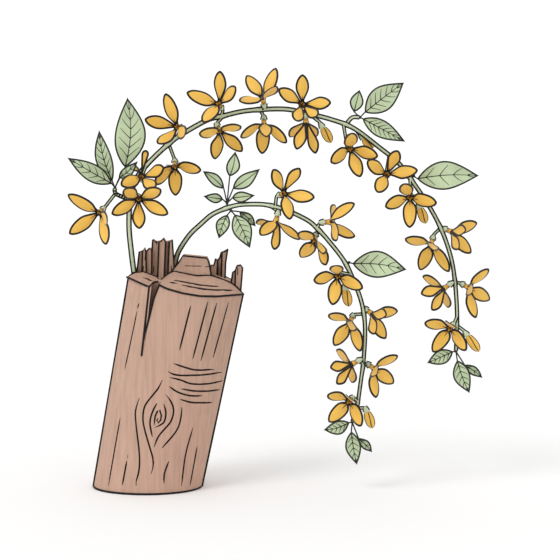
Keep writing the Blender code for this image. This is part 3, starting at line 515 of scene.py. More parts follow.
# A bud's rows: how far along it each lies, and its share of the full radius
BUD_ROWS = ((0.0, 0.4), (0.15, 0.68), (0.35, 0.92), (0.55, 1.0), (0.75, 0.86), (0.9, 0.5), (1.0, 0.16))

# A bud's seams: where each starts round the bud, how far it twists, and its radius in millimetres
BUD_SEAMS = ((0.0, 0.0, 0.48), (math.pi, 0.0, 0.48), (1.1, 0.7, 0.34), (-1.6, 0.5, 0.34))
SEAM_START = 0.06
SEAM_LENGTH = 0.92
SEAM_STEPS = 8

# A calyx's rows, outside and then inside: the height and the radius as shares, and how much of a lobe it has
CALYX_ROWS = (
    (-1.0, 0.42, 0.0), (-0.75, 0.62, 0.0), (-0.4, 0.86, 0.0), (0.0, 1.0, 0.0), (0.22, 1.07, 0.3),
    (0.2, 0.95, 0.3), (0.0, 0.86, 0.0), (-0.1, 0.3, 0.0),
)
CALYX_OUTSIDE_ROWS = 5
CALYX_SIDES = 16
CALYX_LOBES = 4
LOBE_LENGTH = 1.6
CALYX_EDGE = 0.5 * MM
CALYX_GAP = 0.4 * MM

# The distance between points along stems, twigs, stalks and the stalks of leaves
STEM_STEP = 2.2 * MM
TWIG_STEP = 1.5 * MM
STALK_STEP = 0.9 * MM
LEAF_STALK_STEP = 1.0 * MM

# How much a stem swells at a node and how far that reaches, and the scar rings of a twig
NODE_SWELLING = 0.38
NODE_REACH = 3.0 * MM
SCAR_ROWS = ((-1, 1.3), (-0.4, 1.9), (0.4, 1.8), (1, 1.3))
SCAR_HALF = 0.3
SCARS = 7

# A flower's stalk: where it bends and where it ends under the seat, in lengths of the calyx
STALK_ELBOW = 1.3
STALK_END = 0.6
LEAST_ELBOW = 2.5 * MM
LEAST_TURN = 0.3

# A blade's grid, the half width of its foot, and the long waves of its halves
BLADE_GRID = (28, 10)
BLADE_FOOT = 0.5 * MM
BLADE_FULLNESS = 0.85
WAVE_HEIGHT = 0.03
WAVES = 9.0
WELD = 0.02 * MM
HUB_RADIUS = 1.1 * MM
LEAF_STALK_RADIUS = 0.5 * MM
LEAF_STALK_SHARE = 0.05

# The midrib and the side veins, as shares of the blade's length and half width and of the midrib's radius
RIB_STEPS = 16
RIB_TAPER = 0.45
FIRST_VEIN = 0.14
VEIN_SPAN = 0.68
VEIN_STEPS = 6
VEIN_SLANT = 0.13
VEIN_CURVE = 0.02
VEIN_REACH = 0.7
VEIN_SHARE = 0.76
VEIN_TAPER = 0.36

# How gently a dark margin ends, in millimetres
INK_SOFTNESS = 0.08

# The floor: its half width, its front, where its curve up starts, the curve's radius and steps, and its top
FLOOR_HALF = 4.0
FLOOR_FRONT = -4.0
FLOOR_BACK = 1.6
FLOOR_CURVE = 0.8
FLOOR_STEPS = 12
FLOOR_TOP = 4.0

# The soft light's turn and its softness, and the camera's sensor in millimetres
KEY_TURN = (math.radians(42), math.radians(-14), math.radians(-28))
KEY_SOFTNESS = math.radians(25)
SENSOR_WIDTH = 36.0


def length_property(name, description, default):
    """A length that a user may change, from its default in millimetres."""
    return FloatProperty(name=name, description=description, default=default * MM, subtype="DISTANCE")


def pair_property(name, description, default):
    """One length for the upper stem and one for the lower, from their defaults in millimetres."""
    upper, lower = default
    return FloatVectorProperty(
        name=name, description=description, default=(upper * MM, lower * MM), size=2, unit="LENGTH"
    )


def number_property(name, description, default):
    """A plain number that a user may change."""
    return FloatProperty(name=name, description=description, default=default)


def colour_property(name, description, default):
    """A colour that a user may change."""
    return FloatVectorProperty(name=name, description=description, default=default, subtype="COLOR")


class StumpSettings(bpy.types.PropertyGroup):
    groove: length_property("Groove", "Half width of a grain groove", 0.66)
    relief: length_property("Relief", "Height of the weathered relief", 0.35)
    edge_radius: length_property("Edge radius", "Radius of the dark worn edges", 0.6)
    wood: colour_property("Wood", "Colour of the weathered wood", (0.52, 0.33, 0.25))
    ink: colour_property("Dark edges", "Colour of grooves, margins and worn edges", (0.007, 0.005, 0.004))


class StemSettings(bpy.types.PropertyGroup):
    base_radius: pair_property("Base radius", "Radius of both stems at the stump", (1.08, 0.98))
    tip_radius: pair_property("Tip radius", "Radius of both stems at the tip", (0.62, 0.6))
    stalk_radius: length_property("Stalk radius", "Radius of a flower's stalk", 0.55)
    twig_radius: length_property("Twig radius", "Radius of a side twig", 0.75)
    calyx_radius: length_property("Calyx radius", "Radius of a calyx at its rim", 1.8)
    calyx_length: length_property("Calyx length", "Length of a calyx below its flower", 3.0)
    edge_radius: length_property("Edge radius", "Radius of the dark ridges beside a stem", 0.62)
    bark: colour_property("Bark", "Colour of the young bark", (0.597, 0.694, 0.491))


class BloomSettings(bpy.types.PropertyGroup):
    petal_length: length_property("Petal length", "Least length of a petal", 19.5)
    petal_width: length_property("Petal width", "Full width of a petal", 9.9)
    thickness: length_property("Thickness", "Thickness of a petal", 0.4)
    margin: length_property("Margin", "Width of a petal's dark margin", 1.4)
    tube_length: length_property("Tube length", "Length of the funnel under the throat", 5.0)
    throat_radius: length_property("Throat radius", "Radius of the open throat", 1.9)
    foot_radius: length_property("Foot radius", "Radius of the funnel's foot", 1.15)
    bud_radius: length_property("Bud radius", "Greatest radius of a closed bud", 3.1)
    petal: colour_property("Petal", "Colour of the petals", (0.85, 0.5, 0.085))


class LeafSettings(bpy.types.PropertyGroup):
    thickness: length_property("Thickness", "Thickness of a blade", 0.35)
    margin: length_property("Margin", "Width of a blade's dark margin", 1.15)
    vein_radius: length_property("Vein radius", "Radius of the midrib", 0.54)
    fold: number_property("Fold", "How steeply the two halves rise from the midrib", 0.22)
    green: colour_property("Green", "Colour of the blades", (0.51, 0.61, 0.39))
    line: colour_property("Line", "Colour of the margins, veins and leaf stalks", (0.02, 0.025, 0.015))


class StageSettings(bpy.types.PropertyGroup):
    ambient: number_property("Ambient", "Strength of the even light all round", 0.9)
    key: number_property("Key", "Strength of the soft light from the left", 0.85)
    floor: colour_property("Floor", "Colour of the floor and the backdrop", (0.93, 0.93, 0.93))


# Shared modelling helpers


def unit(vector):
    return vector.normalized()


def linked(name, data):
    """A new object in the scene."""
    made = bpy.data.objects.new(name, data)
    bpy.context.scene.collection.objects.link(made)
    return made


def mesh_object(name, shape):
    """A named object from a bmesh, which is freed."""
    mesh = bpy.data.meshes.new(name)
    shape.to_mesh(mesh)
    shape.free()
    return linked(name, mesh)


def evaluated_mesh(source):
    """The evaluated mesh of an object with its place applied, and the object removed."""
    bpy.context.view_layer.update()
    evaluated = source.evaluated_get(bpy.context.evaluated_depsgraph_get())
    mesh = bpy.data.meshes.new_from_object(evaluated)
    mesh.transform(source.matrix_world)
    bpy.data.objects.remove(source, do_unlink=True)
    return mesh


def modified(shape, kind, into=None, **values):
    """What a modifier makes of a bmesh, in a new one or added to another."""
    source = mesh_object("unmodified", shape)
    modifier = source.modifiers.new(kind, kind)
    for key, value in values.items():
        setattr(modifier, key, value)
    made = bmesh.new() if into is None else into
    made.from_mesh(evaluated_mesh(source))
    return made


def dress(piece, nodes, materials):
    """Give a finished piece its materials, its body and the nodes that it stands for."""
    for material in materials:
        if material.name not in piece.data.materials:
            piece.data.materials.append(material)
    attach(piece, BODY)
    if nodes:
        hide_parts(*nodes)


def blend(start, end, share):
    return start + (end - start) * share


def outward(side, rise, angle):
    """The direction at an angle round an axis, from the two directions that span the plane across it."""
    return side * math.cos(angle) + rise * math.sin(angle)


def smooth_line(knots, spacing):
    """Points about that far apart on a Catmull-Rom curve through the knots."""
    ends = [2 * knots[0] - knots[1], *knots, 2 * knots[-1] - knots[-2]]
    line = []
    for before, start, end, after in zip(ends, ends[1:], ends[2:], ends[3:]):
        steps = max(1, round((end - start).length / spacing))
        for step in range(steps):
            t = step / steps
            line.append(
                0.5
                * (
                    2 * start
                    + (end - before) * t
                    + (2 * before - 5 * start + 4 * end - after) * t**2
                    + (3 * start - before - 3 * end + after) * t**3
                )
            )
    line.append(knots[-1].copy())
    return line


def first_ring(shape, sides):
    """The vertices of a closed ring to grow rows from, with a face inside it."""
    return bmesh.ops.create_circle(shape, cap_ends=True, segments=sides, radius=1.0)["verts"]


def add_tube(shape, line, radii, sides, material=0):
    """Sweep a ring of vertices along a line in the bmesh, closed at both ends."""
    heading = unit(line[1] - line[0])
    side = unit(heading.cross(BACKWARDS if abs(heading.y) < MOSTLY_BACK else RIGHTWARDS))
    ring = first_ring(shape, sides)
    ring[0].link_faces[0].material_index = material
    for index, (place, radius) in enumerate(zip(line, radii)):
        heading = heading_at(line, index)
        side = unit(side - heading * side.dot(heading))
        rise = heading.cross(side)
        if index:
            ring = grown_row(shape, ring, closed=True, material=material)
        for turn, vert in enumerate(ring):
            vert.co = place + outward(side, rise, turn * math.tau / sides) * radius
    shape.faces.new(ring).material_index = material


def heading_at(line, index):
    """The way that a line runs at one of its points."""
    return unit(line[min(index + 1, len(line) - 1)] - line[max(index - 1, 0)])


def grown_row(shape, row, closed=False, material=0):
    """Extrude the edges along a row of vertices, and return the new row in the same order."""
    following = row[1:] + row[:1] if closed else row[1:]
    edges = [shape.edges.get(pair) for pair in zip(row, following)]
    grown = bmesh.ops.extrude_edge_only(shape, edges=edges)["geom"]
    fresh = {item for item in grown if isinstance(item, bmesh.types.BMVert)}
    for item in grown:
        if isinstance(item, bmesh.types.BMFace):
            item.material_index = material
    return [next(e.other_vert(v) for e in v.link_edges if e.other_vert(v) in fresh) for v in row]


def face_outwards(shape):
    """Turn the faces of every closed body in a bmesh outwards."""
    bmesh.ops.recalc_face_normals(shape, faces=shape.faces)


def around_axis(axis):
    """Two directions that span the plane across an axis."""
    side = unit(axis.cross(SKEW))
    return side, axis.cross(side)


# Materials


class Paint:
    """One material in the making, and the nodes that give it its look."""

    def __init__(self, name, colour, roughness):
        self.colour = tuple(colour)
        self.material = bpy.data.materials.new(name)
        self.material.use_nodes = True
        self.tree = self.material.node_tree
        self.shader = self.tree.nodes["Principled BSDF"]
        self.shader.inputs["Base Color"].default_value = (*self.colour, 1.0)
        self.shader.inputs["Roughness"].default_value = roughness
        self.shader.inputs["Specular IOR Level"].default_value = 0.3

    def node(self, kind, inputs, **settings):
        """A new node with its settings, and with each input linked to an output or set to a value."""
        made = self.tree.nodes.new(f"ShaderNode{kind}")
        for key, value in settings.items():
            setattr(made, key, value)
        for key, value in inputs.items():
            if isinstance(value, bpy.types.NodeSocket):
                self.tree.links.new(value, made.inputs[key])
            else:
                made.inputs[key].default_value = value
        return made.outputs

    def noise(self, vector, scale, detail=3.0):
        return self.node("TexNoise", {"Vector": vector, "Scale": scale, "Detail": detail})["Fac"]

    def grain(self, scale, detail=3.0, stretch=(1, 1, 1), turn=0.0):
        """A noise on Object coordinates, turned about Y and stretched by a scale for each axis."""
        place = self.node("TexCoord", {})["Object"]
        turned = {"Vector": place, "Scale": stretch, "Rotation": (0.0, turn, 0.0)}
        return self.noise(self.node("Mapping", turned)["Vector"], scale, detail)

    def ramp(self, factor, *stops):
        """Colours that follow a factor, from stops of a position and a colour."""
        made = self.tree.nodes.new("ShaderNodeValToRGB")
        elements = made.color_ramp.elements
        while len(elements) < len(stops):
            elements.new(0.5)
        for element, (position, colour) in zip(elements, stops):
            element.position = position
            element.color = (*colour, 1.0)
        self.tree.links.new(factor, made.inputs["Fac"])
        return made.outputs["Color"]

    def tones(self, factor, *stops):
        """Darker and lighter tones of the own colour that follow a factor."""
        return self.ramp(factor, *((position, self.tinted(tone)) for position, tone in stops))

    def tinted(self, tone):
        return tuple(min(1.0, channel * tone) for channel in self.colour)

    def multiplied(self, first, second):
        both = {"Factor": 1.0, "A": first, "B": second}
        return self.node("Mix", both, data_type="RGBA", blend_type="MULTIPLY")["Result"]

    def inked(self, colour, ink, width):
        """The colour, with ink wherever the surface lies that near to its open edge."""
        reach = {
            "Value": self.node("Attribute", {}, attribute_name="from_edge")["Fac"],
            "From Min": width / MM - INK_SOFTNESS,
            "From Max": width / MM + INK_SOFTNESS,
        }
        edge = self.node("MapRange", reach, interpolation_type="SMOOTHSTEP")["Result"]
        return self.node("Mix", {"Factor": edge, "A": (*ink, 1.0), "B": colour}, data_type="RGBA")["Result"]

    def finished(self, colour, height=None, strength=0.0, distance=0.0):
        """The material, with its colour linked, and a bump where a height is given."""
        self.tree.links.new(colour, self.shader.inputs["Base Color"])
        if height is not None:
            bump = self.node("Bump", {"Height": height, "Strength": strength, "Distance": distance})
            self.tree.links.new(bump["Normal"], self.shader.inputs["Normal"])
        return self.material


def once(name, make):
    """The material of that name, made the first time that it is asked for."""
    return bpy.data.materials.get(name) or make(name)


def ink_material(name="dark_edge", line=None):
    def make(title):
        paint = Paint(title, line or bpy.context.scene.forsythia_stump.ink, 0.8)
        return paint.finished(paint.tones(paint.grain(900), (0.3, 0.7), (0.7, 1.5)))

    return once(name, make)


def vein_material():
    return ink_material("leaf_line", bpy.context.scene.forsythia_leaf.line)


def wood_material():
    def make(title):
        paint = Paint(title, bpy.context.scene.forsythia_stump.wood, 0.82)
        turn = -math.atan(STUMP_LEAN)
        streaks = paint.grain(420, 4.0, (1.0, 1.0, 0.06), turn)
        blotches = paint.grain(28, 3.0, (1, 1, 0.35), turn)
        fine = paint.tones(streaks, (0.3, 0.88), (0.5, 1.0), (0.72, 1.09))
        warm = paint.ramp(
            blotches, (0.35, (0.96, 0.98, 0.97)), (0.55, (1.0, 1.0, 1.0)), (0.75, (1.05, 0.98, 0.98))
        )
        return paint.finished(paint.multiplied(fine, warm), streaks, 0.35, 0.6 * MM)

    return once("weathered_wood", make)


def bark_material():
    def make(title):
        paint = Paint(title, bpy.context.scene.forsythia_stem.bark, 0.5)
        spots = paint.grain(700, 2.0)
        shade = paint.tones(paint.grain(60, 2.0), (0.35, 0.9), (0.65, 1.06))
        lenticels = paint.ramp(spots, (0.62, (1.0, 1.0, 1.0)), (0.7, (0.78, 0.74, 0.6)))
        return paint.finished(paint.multiplied(shade, lenticels), spots, 0.3, 0.2 * MM)

    return once("young_bark", make)


def petal_material(name="golden_petal", margin=0.0):
    def make(title):
        paint = Paint(title, bpy.context.scene.forsythia_bloom.petal, 0.55)
        paint.shader.inputs["Sheen Weight"].default_value = 0.15
        lay = paint.node("UVMap", {}, uv_map="petal")["UV"]
        along = paint.node("SeparateXYZ", {"Vector": lay})["Y"]
        stretched = paint.node("Mapping", {"Vector": lay, "Scale": (26.0, 2.0, 1.0)})["Vector"]
        streaks = paint.noise(stretched, 1.0)
        # Painted shade: the funnel is painted darker and browner towards its foot, deep in the throat, and
        # reaches full colour at the throat, so the petals keep their own colour
        depth = paint.ramp(
            along,
            (0.0, (0.45, 0.3, 0.18)), (0.08, (0.72, 0.6, 0.46)), (0.15, (0.96, 0.93, 0.9)),
            (0.22, (1.0, 1.0, 1.0)), (1.0, (1.0, 1.02, 1.05)),
        )
        shown = paint.multiplied(paint.tones(streaks, (0.35, 0.93), (0.65, 1.05)), depth)
        if margin:
            shown = paint.inked(shown, bpy.context.scene.forsythia_stump.ink, margin)
        return paint.finished(shown, streaks, 0.25, 0.2 * MM)

    return once(name, make)


def pollen_material():
    def make(title):
        paint = Paint(title, POLLEN_COLOUR, 0.7)
        return paint.finished(paint.tones(paint.grain(3000), (0.4, 0.8), (0.6, 1.3)))

    return once("stamen", make)


def leaf_material():
    def make(title):
        settings = bpy.context.scene.forsythia_leaf
        paint = Paint(title, settings.green, 0.5)
        cells = paint.grain(900)
        shade = paint.tones(paint.grain(45, 2.0), (0.35, 0.9), (0.65, 1.08))
        fine = paint.ramp(cells, (0.35, (0.94, 0.95, 0.92)), (0.65, (1.0, 1.0, 1.0)))
        shown = paint.inked(paint.multiplied(shade, fine), settings.line, settings.margin)
        return paint.finished(shown, cells, 0.3, 0.2 * MM)

    return once("leaf_green", make)


# The stump


def stump_middle(height):
    """The middle and the half sizes of the stump's leaning body at a height."""
    share = height / STUMP_TOP
    half_width = blend(STUMP_WIDTH, STUMP_TOP_WIDTH, share) / 2
    half_depth = blend(STUMP_DEPTH, STUMP_TOP_DEPTH, share) / 2
    return STUMP_LEAN * height, half_width, half_depth


def stump_front(across, down):
    """The point on the stump's rounded front behind a place on the sheet."""
    depth = FRONT_DEPTH
    for _ in range(FRONT_ROUNDS):
        place = on_sheet(across, down, depth)
        middle, half_width, half_depth = stump_middle(place.z)
        side = min(FRONT_WIDEST, abs(place.x - middle) / half_width)
        depth = -half_depth * math.sqrt(1 - side**2) / MM
    return on_sheet(across, down, depth)


def top_height(x, y):
    """The height of the broken top over a place on the floor."""
    across = BASE_ACROSS + x / SQUARE
    front_down = np.interp(across, *zip(*TOP_FRONT_EDGE))
    ridge_down = np.interp(across, *zip(*TOP_RIDGE))
    ridge = (BASE_DOWN - ridge_down) * SQUARE
    sight_slope = (EYE.z - STUMP_TOP) / -EYE.y
    front = (BASE_DOWN - front_down) * SQUARE
    middle, half_width, half_depth = stump_middle(STUMP_TOP)
    side = min(1.0, abs(x - middle) / half_width)
    rim = half_depth * math.sqrt(1 - side**2)
    if y >= 0 or rim < 1 * MM:
        return ridge
    return blend(ridge, front + rim * sight_slope, min(1.0, -y / rim))


def stump_top_point(share, angle):
    """A point on the broken top, at a share of the way from its middle to its rim."""
    middle, half_width, half_depth = stump_middle(STUMP_TOP)
    x = middle + share * half_width * math.cos(angle)
    y = share * half_depth * math.sin(angle)
    return Vector((x, y, top_height(x, y)))


def stump_side(share, angle):
    """A point on the stump's side, at a share of the way up to the rim."""
    height = share * stump_top_point(1.0, angle).z
    middle, half_width, half_depth = stump_middle(height)
    return Vector((middle + half_width * math.cos(angle), half_depth * math.sin(angle), height))


def stump_slope(across, down):
    """The point on the front slope of the broken top behind a place on the sheet."""
    near, far = SLOPE_DEPTHS
    for _ in range(SLOPE_ROUNDS):
        depth = (near + far) / 2
        place = on_sheet(across, down, depth)
        if place.z > top_height(place.x, place.y):
            near = depth
        else:
            far = depth
    return on_sheet(across, down, far)


def sheet_line(outline):
    """A smooth line through places on the sheet."""
    return smooth_line([Vector(place) for place in outline], SHEET_STEP)


def weathered(angle, height):
    """How far a point of the side stands out or in, which gives it its long flutes."""
    around = Vector((math.cos(angle) * FLUTES, math.sin(angle) * FLUTES, height / STUMP_TOP * FLUTE_RISE))
    return sum(weight * noise.noise(around * scale) for scale, weight in FLUTE_NOISE)


def stump_body(relief):
    """The leaning body with its broken top, with a dark line round its foot and round its rim."""
    shape = bmesh.new()
    row = first_ring(shape, STUMP_SIDES)
    angles = [math.atan2(v.co.y, v.co.x) for v in row]
    for index, share in enumerate(SIDE_ROWS):
        if index:
            dark = index in (1, len(SIDE_ROWS) - 1)
            row = grown_row(shape, row, closed=True, material=int(dark))
        ease = min(1.0, share * RELIEF_EASE, (1 - share) * RELIEF_EASE)
        for angle, vert in zip(angles, row):
            place = stump_side(share, angle)
            push = relief * ease * weathered(angle, place.z)
            vert.co = place + outward(RIGHTWARDS, BACKWARDS, angle) * push
    for index, share in enumerate(TOP_ROWS):
        row = grown_row(shape, row, closed=True, material=int(index == 0))
        for angle, vert in zip(angles, row):
            place = stump_top_point(share, angle)
            rough = noise.noise(place * TOP_GRIT) * TOP_ROUGHNESS * MM * min(1.0, index / 2)
            vert.co = place + UPWARDS * rough
    crown = bmesh.ops.poke(shape, faces=[shape.faces.new(row)])["verts"][0]
    crown.co = stump_top_point(0.0, 0.0)
    bmesh.ops.triangulate(shape, faces=shape.faces)
    face_outwards(shape)
    return mesh_object("stump_body", shape)


def add_slab(shape, outline, reach, lean=0.0):
    """An outline on the sheet, extruded between a front and a back depth, leaning back with height."""
    front, back = reach
    verts = [shape.verts.new(on_sheet(across, down, front)) for across, down in outline]
    face = shape.faces.new(verts)
    grown = bmesh.ops.extrude_face_region(shape, geom=[face])["geom"]
    moved = [item for item in grown if isinstance(item, bmesh.types.BMVert)]
    bmesh.ops.translate(shape, vec=BACKWARDS * (back - front) * MM, verts=moved)
    lowest = min(v.co.z for v in moved)
    for vert in verts + moved:
        vert.co.y += lean * (vert.co.z - lowest)
    return verts + moved


def grain_cutters(radius):
    """One tube for each line of the grain, half sunk in the stump's side, all in one mesh."""
    shape = bmesh.new()
    for outline in GRAIN_LINES:
        line = [stump_front(*place) for place in sheet_line(outline)]
        add_tube(shape, line, ended_radii(line, radius), EDGE_SIDES)
    chance = random.Random(7)
    for index in range(BACK_LINES):
        angle = math.radians(BACK_FIRST + index * BACK_SPREAD / (BACK_LINES - 1) + chance.uniform(-2, 2))
        low = chance.choice(BACK_STARTS)
        high = min(BACK_END, low + chance.uniform(*BACK_LENGTHS))
        line = [
            stump_side(blend(low, high, step / BACK_STEPS), angle + BACK_SWAY * math.sin(step))
            for step in range(BACK_STEPS + 1)
        ]
        add_tube(shape, line, ended_radii(line, radius), EDGE_SIDES)
    face_outwards(shape)
    return mesh_object("grain_cutters", shape)


def ended_radii(line, radius):
    """Radii that thin out to a point at both ends of a line."""
    last = len(line) - 1
    full = max(1.0, END_SHARE * last)
    return [radius * min(1.0, blend(END_RADIUS, 1.0, min(i, last - i) / full)) for i in range(last + 1)]


def cut(target, cutter, material):
    """Cut one object from another, and colour what the cut lays bare."""
    cutter.data.materials.append(material)
    boolean = target.modifiers.new("cut", "BOOLEAN")
    boolean.operation = "DIFFERENCE"
    boolean.object = cutter
    boolean.solver = "EXACT"
    boolean.use_self = True
    boolean.material_mode = "TRANSFER"
    name = target.name
    mesh = evaluated_mesh(target)
    bpy.data.objects.remove(cutter, do_unlink=True)
    return linked(name, mesh)


def stump_edges(radius):
    """Dark ridges along the stump's sides, its foot, its broken rim, its crack and its ridge."""
    shape = bmesh.new()
    lines = []
    for angle, sign in ((0.0, 1), (math.pi, -1)):
        aside = RIGHTWARDS * (sign * EDGE_STANDS_OUT * radius)
        shares = [blend(SIDE_EDGE_START, 1.0, step / SIDE_STEPS) for step in range(SIDE_STEPS + 1)]
        lines.append([stump_side(share, angle) + aside for share in shares])
    foot = [stump_side(0.0, math.tau * step / FOOT_STEPS) for step in range(FOOT_STEPS + 1)]
    lines.append([place + UPWARDS * radius for place in foot])
    rim = [stump_top_point(1.0, math.pi + math.pi * step / RIM_STEPS) for step in range(RIM_STEPS + 1)]
    left, right = (edge[0][0] + RIM_SHIFT for edge in CRACK_EDGES)
    lines.append([place for place in rim if BASE_ACROSS + place.x / SQUARE < left])
    lines.append([place for place in rim if BASE_ACROSS + place.x / SQUARE > right])
    lines += [[stump_front(*place) for place in sheet_line(edge)] for edge in CRACK_EDGES]
    lines.append([on_sheet(*place) for place in TOP_RIDGE])
    for line in lines:
        add_tube(shape, line, [radius] * len(line), EDGE_SIDES, INK)
    for outline in TOP_LINES:
        line = [stump_slope(*place) for place in sheet_line(outline)]
        add_tube(shape, line, ended_radii(line, radius), EDGE_SIDES, INK)
    face_outwards(shape)
    return mesh_object("stump_edges", shape)


class FORSYTHIA_OT_stump(bpy.types.Operator):
    """Build the broken stump with its grain, its knot, its crack and its splinters"""

    bl_idname = "forsythia.stump"
    bl_label = "Stump"

    def execute(self, context):
        settings = context.scene.forsythia_stump
        wood, ink = wood_material(), ink_material()
        body = stump_body(settings.relief)
        body.data.materials.append(wood)
        body.data.materials.append(ink)
        crack = bmesh.new()
        add_slab(crack, CRACK_OUTLINE, CRACK_REACH)
        face_outwards(crack)
        body = cut(body, mesh_object("crack", crack), wood)
        body = cut(body, grain_cutters(settings.groove), ink)
        body.data.shade_smooth()
        body.data.set_sharp_from_angle(angle=SHARP_ANGLE)
        dress(body, ["stump"], [wood, ink])
        dress(stump_edges(HEAVY_EDGE * settings.edge_radius), [], [wood, ink])
        self.add_standing("stump_plug", [(PLUG_OUTLINE, PLUG_REACH)], PLUG_LEAN_BACK, (), [wood, ink])
        self.add_standing("stump_splinters", SPLINTERS, 0.0, STANDING_LINES, [wood, ink])
        return {"FINISHED"}

    def add_standing(self, name, slabs, lean, strokes, materials):
        """What still stands on the break, with dark worn edges and short strokes."""
        radius = bpy.context.scene.forsythia_stump.edge_radius
        shape = bmesh.new()
        for outline, reach in slabs:
            corners = [vert.co.copy() for vert in add_slab(shape, outline, reach, lean)]
            face = corners[:len(outline)]
            add_tube(shape, face + face[:1], [radius] * (len(face) + 1), LINE_SIDES, INK)
        for places in strokes:
            line = [on_sheet(*place) for place in places]
            add_tube(shape, line, [STROKE_SHARE * radius] * len(line), LINE_SIDES, INK)
        face_outwards(shape)
        dress(mesh_object(name, shape), [], materials)


# Blooms


class Petal(NamedTuple):
    """One petal's middle line, its width, the room beside it and the throat and axis of its flower."""

    start: Vector
    bend: Vector
    tip: Vector
    width: float
    room: float
    throat: Vector
    axis: Vector
    side: Vector


def petal_place(petal, along, step):
    """A point on a petal: how far along it, and from -1 to 1 across it."""
    places, shares = zip((0.0, PETAL_FOOT_SHARE), *PETAL_ROWS)
    share = np.interp(along, places, shares)
    middle = petal.start * (1 - along) ** 2 + petal.bend * (2 * along * (1 - along)) + petal.tip * along**2
    heading = unit(petal.bend - petal.start + (petal.tip - 2 * petal.bend + petal.start) * along)
    across = petal.axis.cross(heading)
    across = twisted(unit(across) if across.length > LEAST_CROSSING else petal.side, heading, along)
    lift = heading.cross(across) * -PETAL_CUP
    half = min(share * petal.width / 2, (middle - petal.throat).cross(petal.axis).length * petal.room)
    reach = (petal.tip - petal.start).length * PETAL_TIP_POINT
    point = heading * reach * (1 - abs(step)) * along**PETAL_TIP_POWER
    return middle + (across * step + lift * step**2) * half + point


def twisted(across, heading, along):
    """The way across a petal, turned gently towards the viewer from its foot to its tip."""
    broad = heading.cross(BACKWARDS)
    if broad.length < LEAST_TWIST:
        return across
    broad = unit(broad if broad.dot(across) > 0 else -broad)
    return unit(across + broad * PETAL_TWIST * along)


def petal_tips(bloom, throat, least):
    """The tips of a bloom's petals, each at its true length from the throat."""
    flat = [(on_sheet(*tip, bloom.throat[2]) - throat, -1) for tip in bloom.near]
    flat += [(on_sheet(*tip, bloom.throat[2]) - throat, 1) for tip in bloom.far]
    length = max(least, PETAL_SPARE_LENGTH * max(reach.length for reach, _ in flat))
    leans = [BACKWARDS * (side * math.sqrt(length**2 - reach.length**2)) for reach, side in flat]
    return [throat + reach + lean for (reach, _), lean in zip(flat, leans)]


class Flower(NamedTuple):
    """A bloom's form: its throat, its axis, the plane across it, the funnel's foot and the sorted petals."""

    throat: Vector
    axis: Vector
    side: Vector
    rise: Vector
    foot: Vector
    petals: list
    angles: list
    gaps: list


def flower_form(bloom, settings):
    """The form of a bloom, which looks the way that its petals point on the whole."""
    throat = on_sheet(*bloom.throat)
    tips = petal_tips(bloom, throat, settings.petal_length)
    axis = unit(sum((unit(tip - throat) for tip in tips), Vector()))
    side, rise = around_axis(axis)
    order = sorted((math.atan2((tip - throat).dot(rise), (tip - throat).dot(side)), tip) for tip in tips)
    angles = [angle for angle, _ in order]
    gaps = [(after - before) % math.tau for before, after in zip(angles, angles[1:] + angles[:1])]
    petals = []
    for index, (angle, tip) in enumerate(order):
        room = PETAL_ROOM * math.tan(min(WIDEST_ROOM, gaps[index - 1] / 2, gaps[index] / 2))
        aside = outward(side, rise, angle)
        start = throat + aside * settings.throat_radius
        bend = start + axis * PETAL_BEND * (tip - start).length + aside * PETAL_REACH
        petals.append(Petal(start, bend, tip, settings.petal_width, room, throat, axis, side))
    return Flower(throat, axis, side, rise, throat - axis * settings.tube_length, petals, angles, gaps)


def flower_cage(flower, settings):
    """The open cage of one flower's funnel and petals, with the petals' own map."""
    shape = bmesh.new()
    lay = shape.loops.layers.uv.new("petal")
    half = PETAL_COLUMNS // 2
    spokes = []
    for index, angle in enumerate(flower.angles):
        before, after = flower.gaps[index - 1] / 2, flower.gaps[index] / 2
        spokes += [angle - before * (half - k) / half for k in range(half)]
        spokes += [angle + after * k / half for k in range(half)]
    ring = first_ring(shape, len(spokes))
    on_map = {}
    for along, share in FUNNEL_ROWS:
        radius = blend(settings.foot_radius, settings.throat_radius, share)
        if along:
            ring = grown_row(shape, ring, closed=True)
        for spoke, vert in zip(spokes, ring):
            aside = outward(flower.side, flower.rise, spoke)
            vert.co = flower.foot + flower.axis * settings.tube_length * along + aside * radius
            on_map[vert] = (0.5, THROAT_ON_MAP * along)
    for index, petal in enumerate(flower.petals):
        first = index * PETAL_COLUMNS
        row = [ring[(first + column) % len(ring)] for column in range(PETAL_COLUMNS + 1)]
        for along, _ in PETAL_ROWS:
            row = grown_row(shape, row)
            for column, vert in enumerate(row):
                vert.co = petal_place(petal, along, 2 * column / PETAL_COLUMNS - 1)
                on_map[vert] = (column / PETAL_COLUMNS + index * 3, blend(THROAT_ON_MAP, 1.0, along))
    for face in shape.faces:
        for loop in face.loops:
            loop[lay].uv = on_map[loop.vert]
    face_outwards(shape)
    return shape


def add_throat_lines(shape, petal, chance):
    """Short dark lines on a petal, from the throat outwards."""
    last = len(THROAT_LINE_RADII) - 1
    narrow, fan = THROAT_LINE_FAN
    for step, reach in THROAT_LINES:
        length = reach * chance.uniform(*THROAT_LINE_CHANCE)
        line = []
        for index in range(last + 1):
            along = THROAT_LINE_START + length * index / last
            place = petal_place(petal, along, step * (narrow + fan * index / last))
            line.append(place + petal.axis * THROAT_LINE_RISE * MM)
        add_tube(shape, line, [radius * MM for radius in THROAT_LINE_RADII], LINE_SIDES, INK)


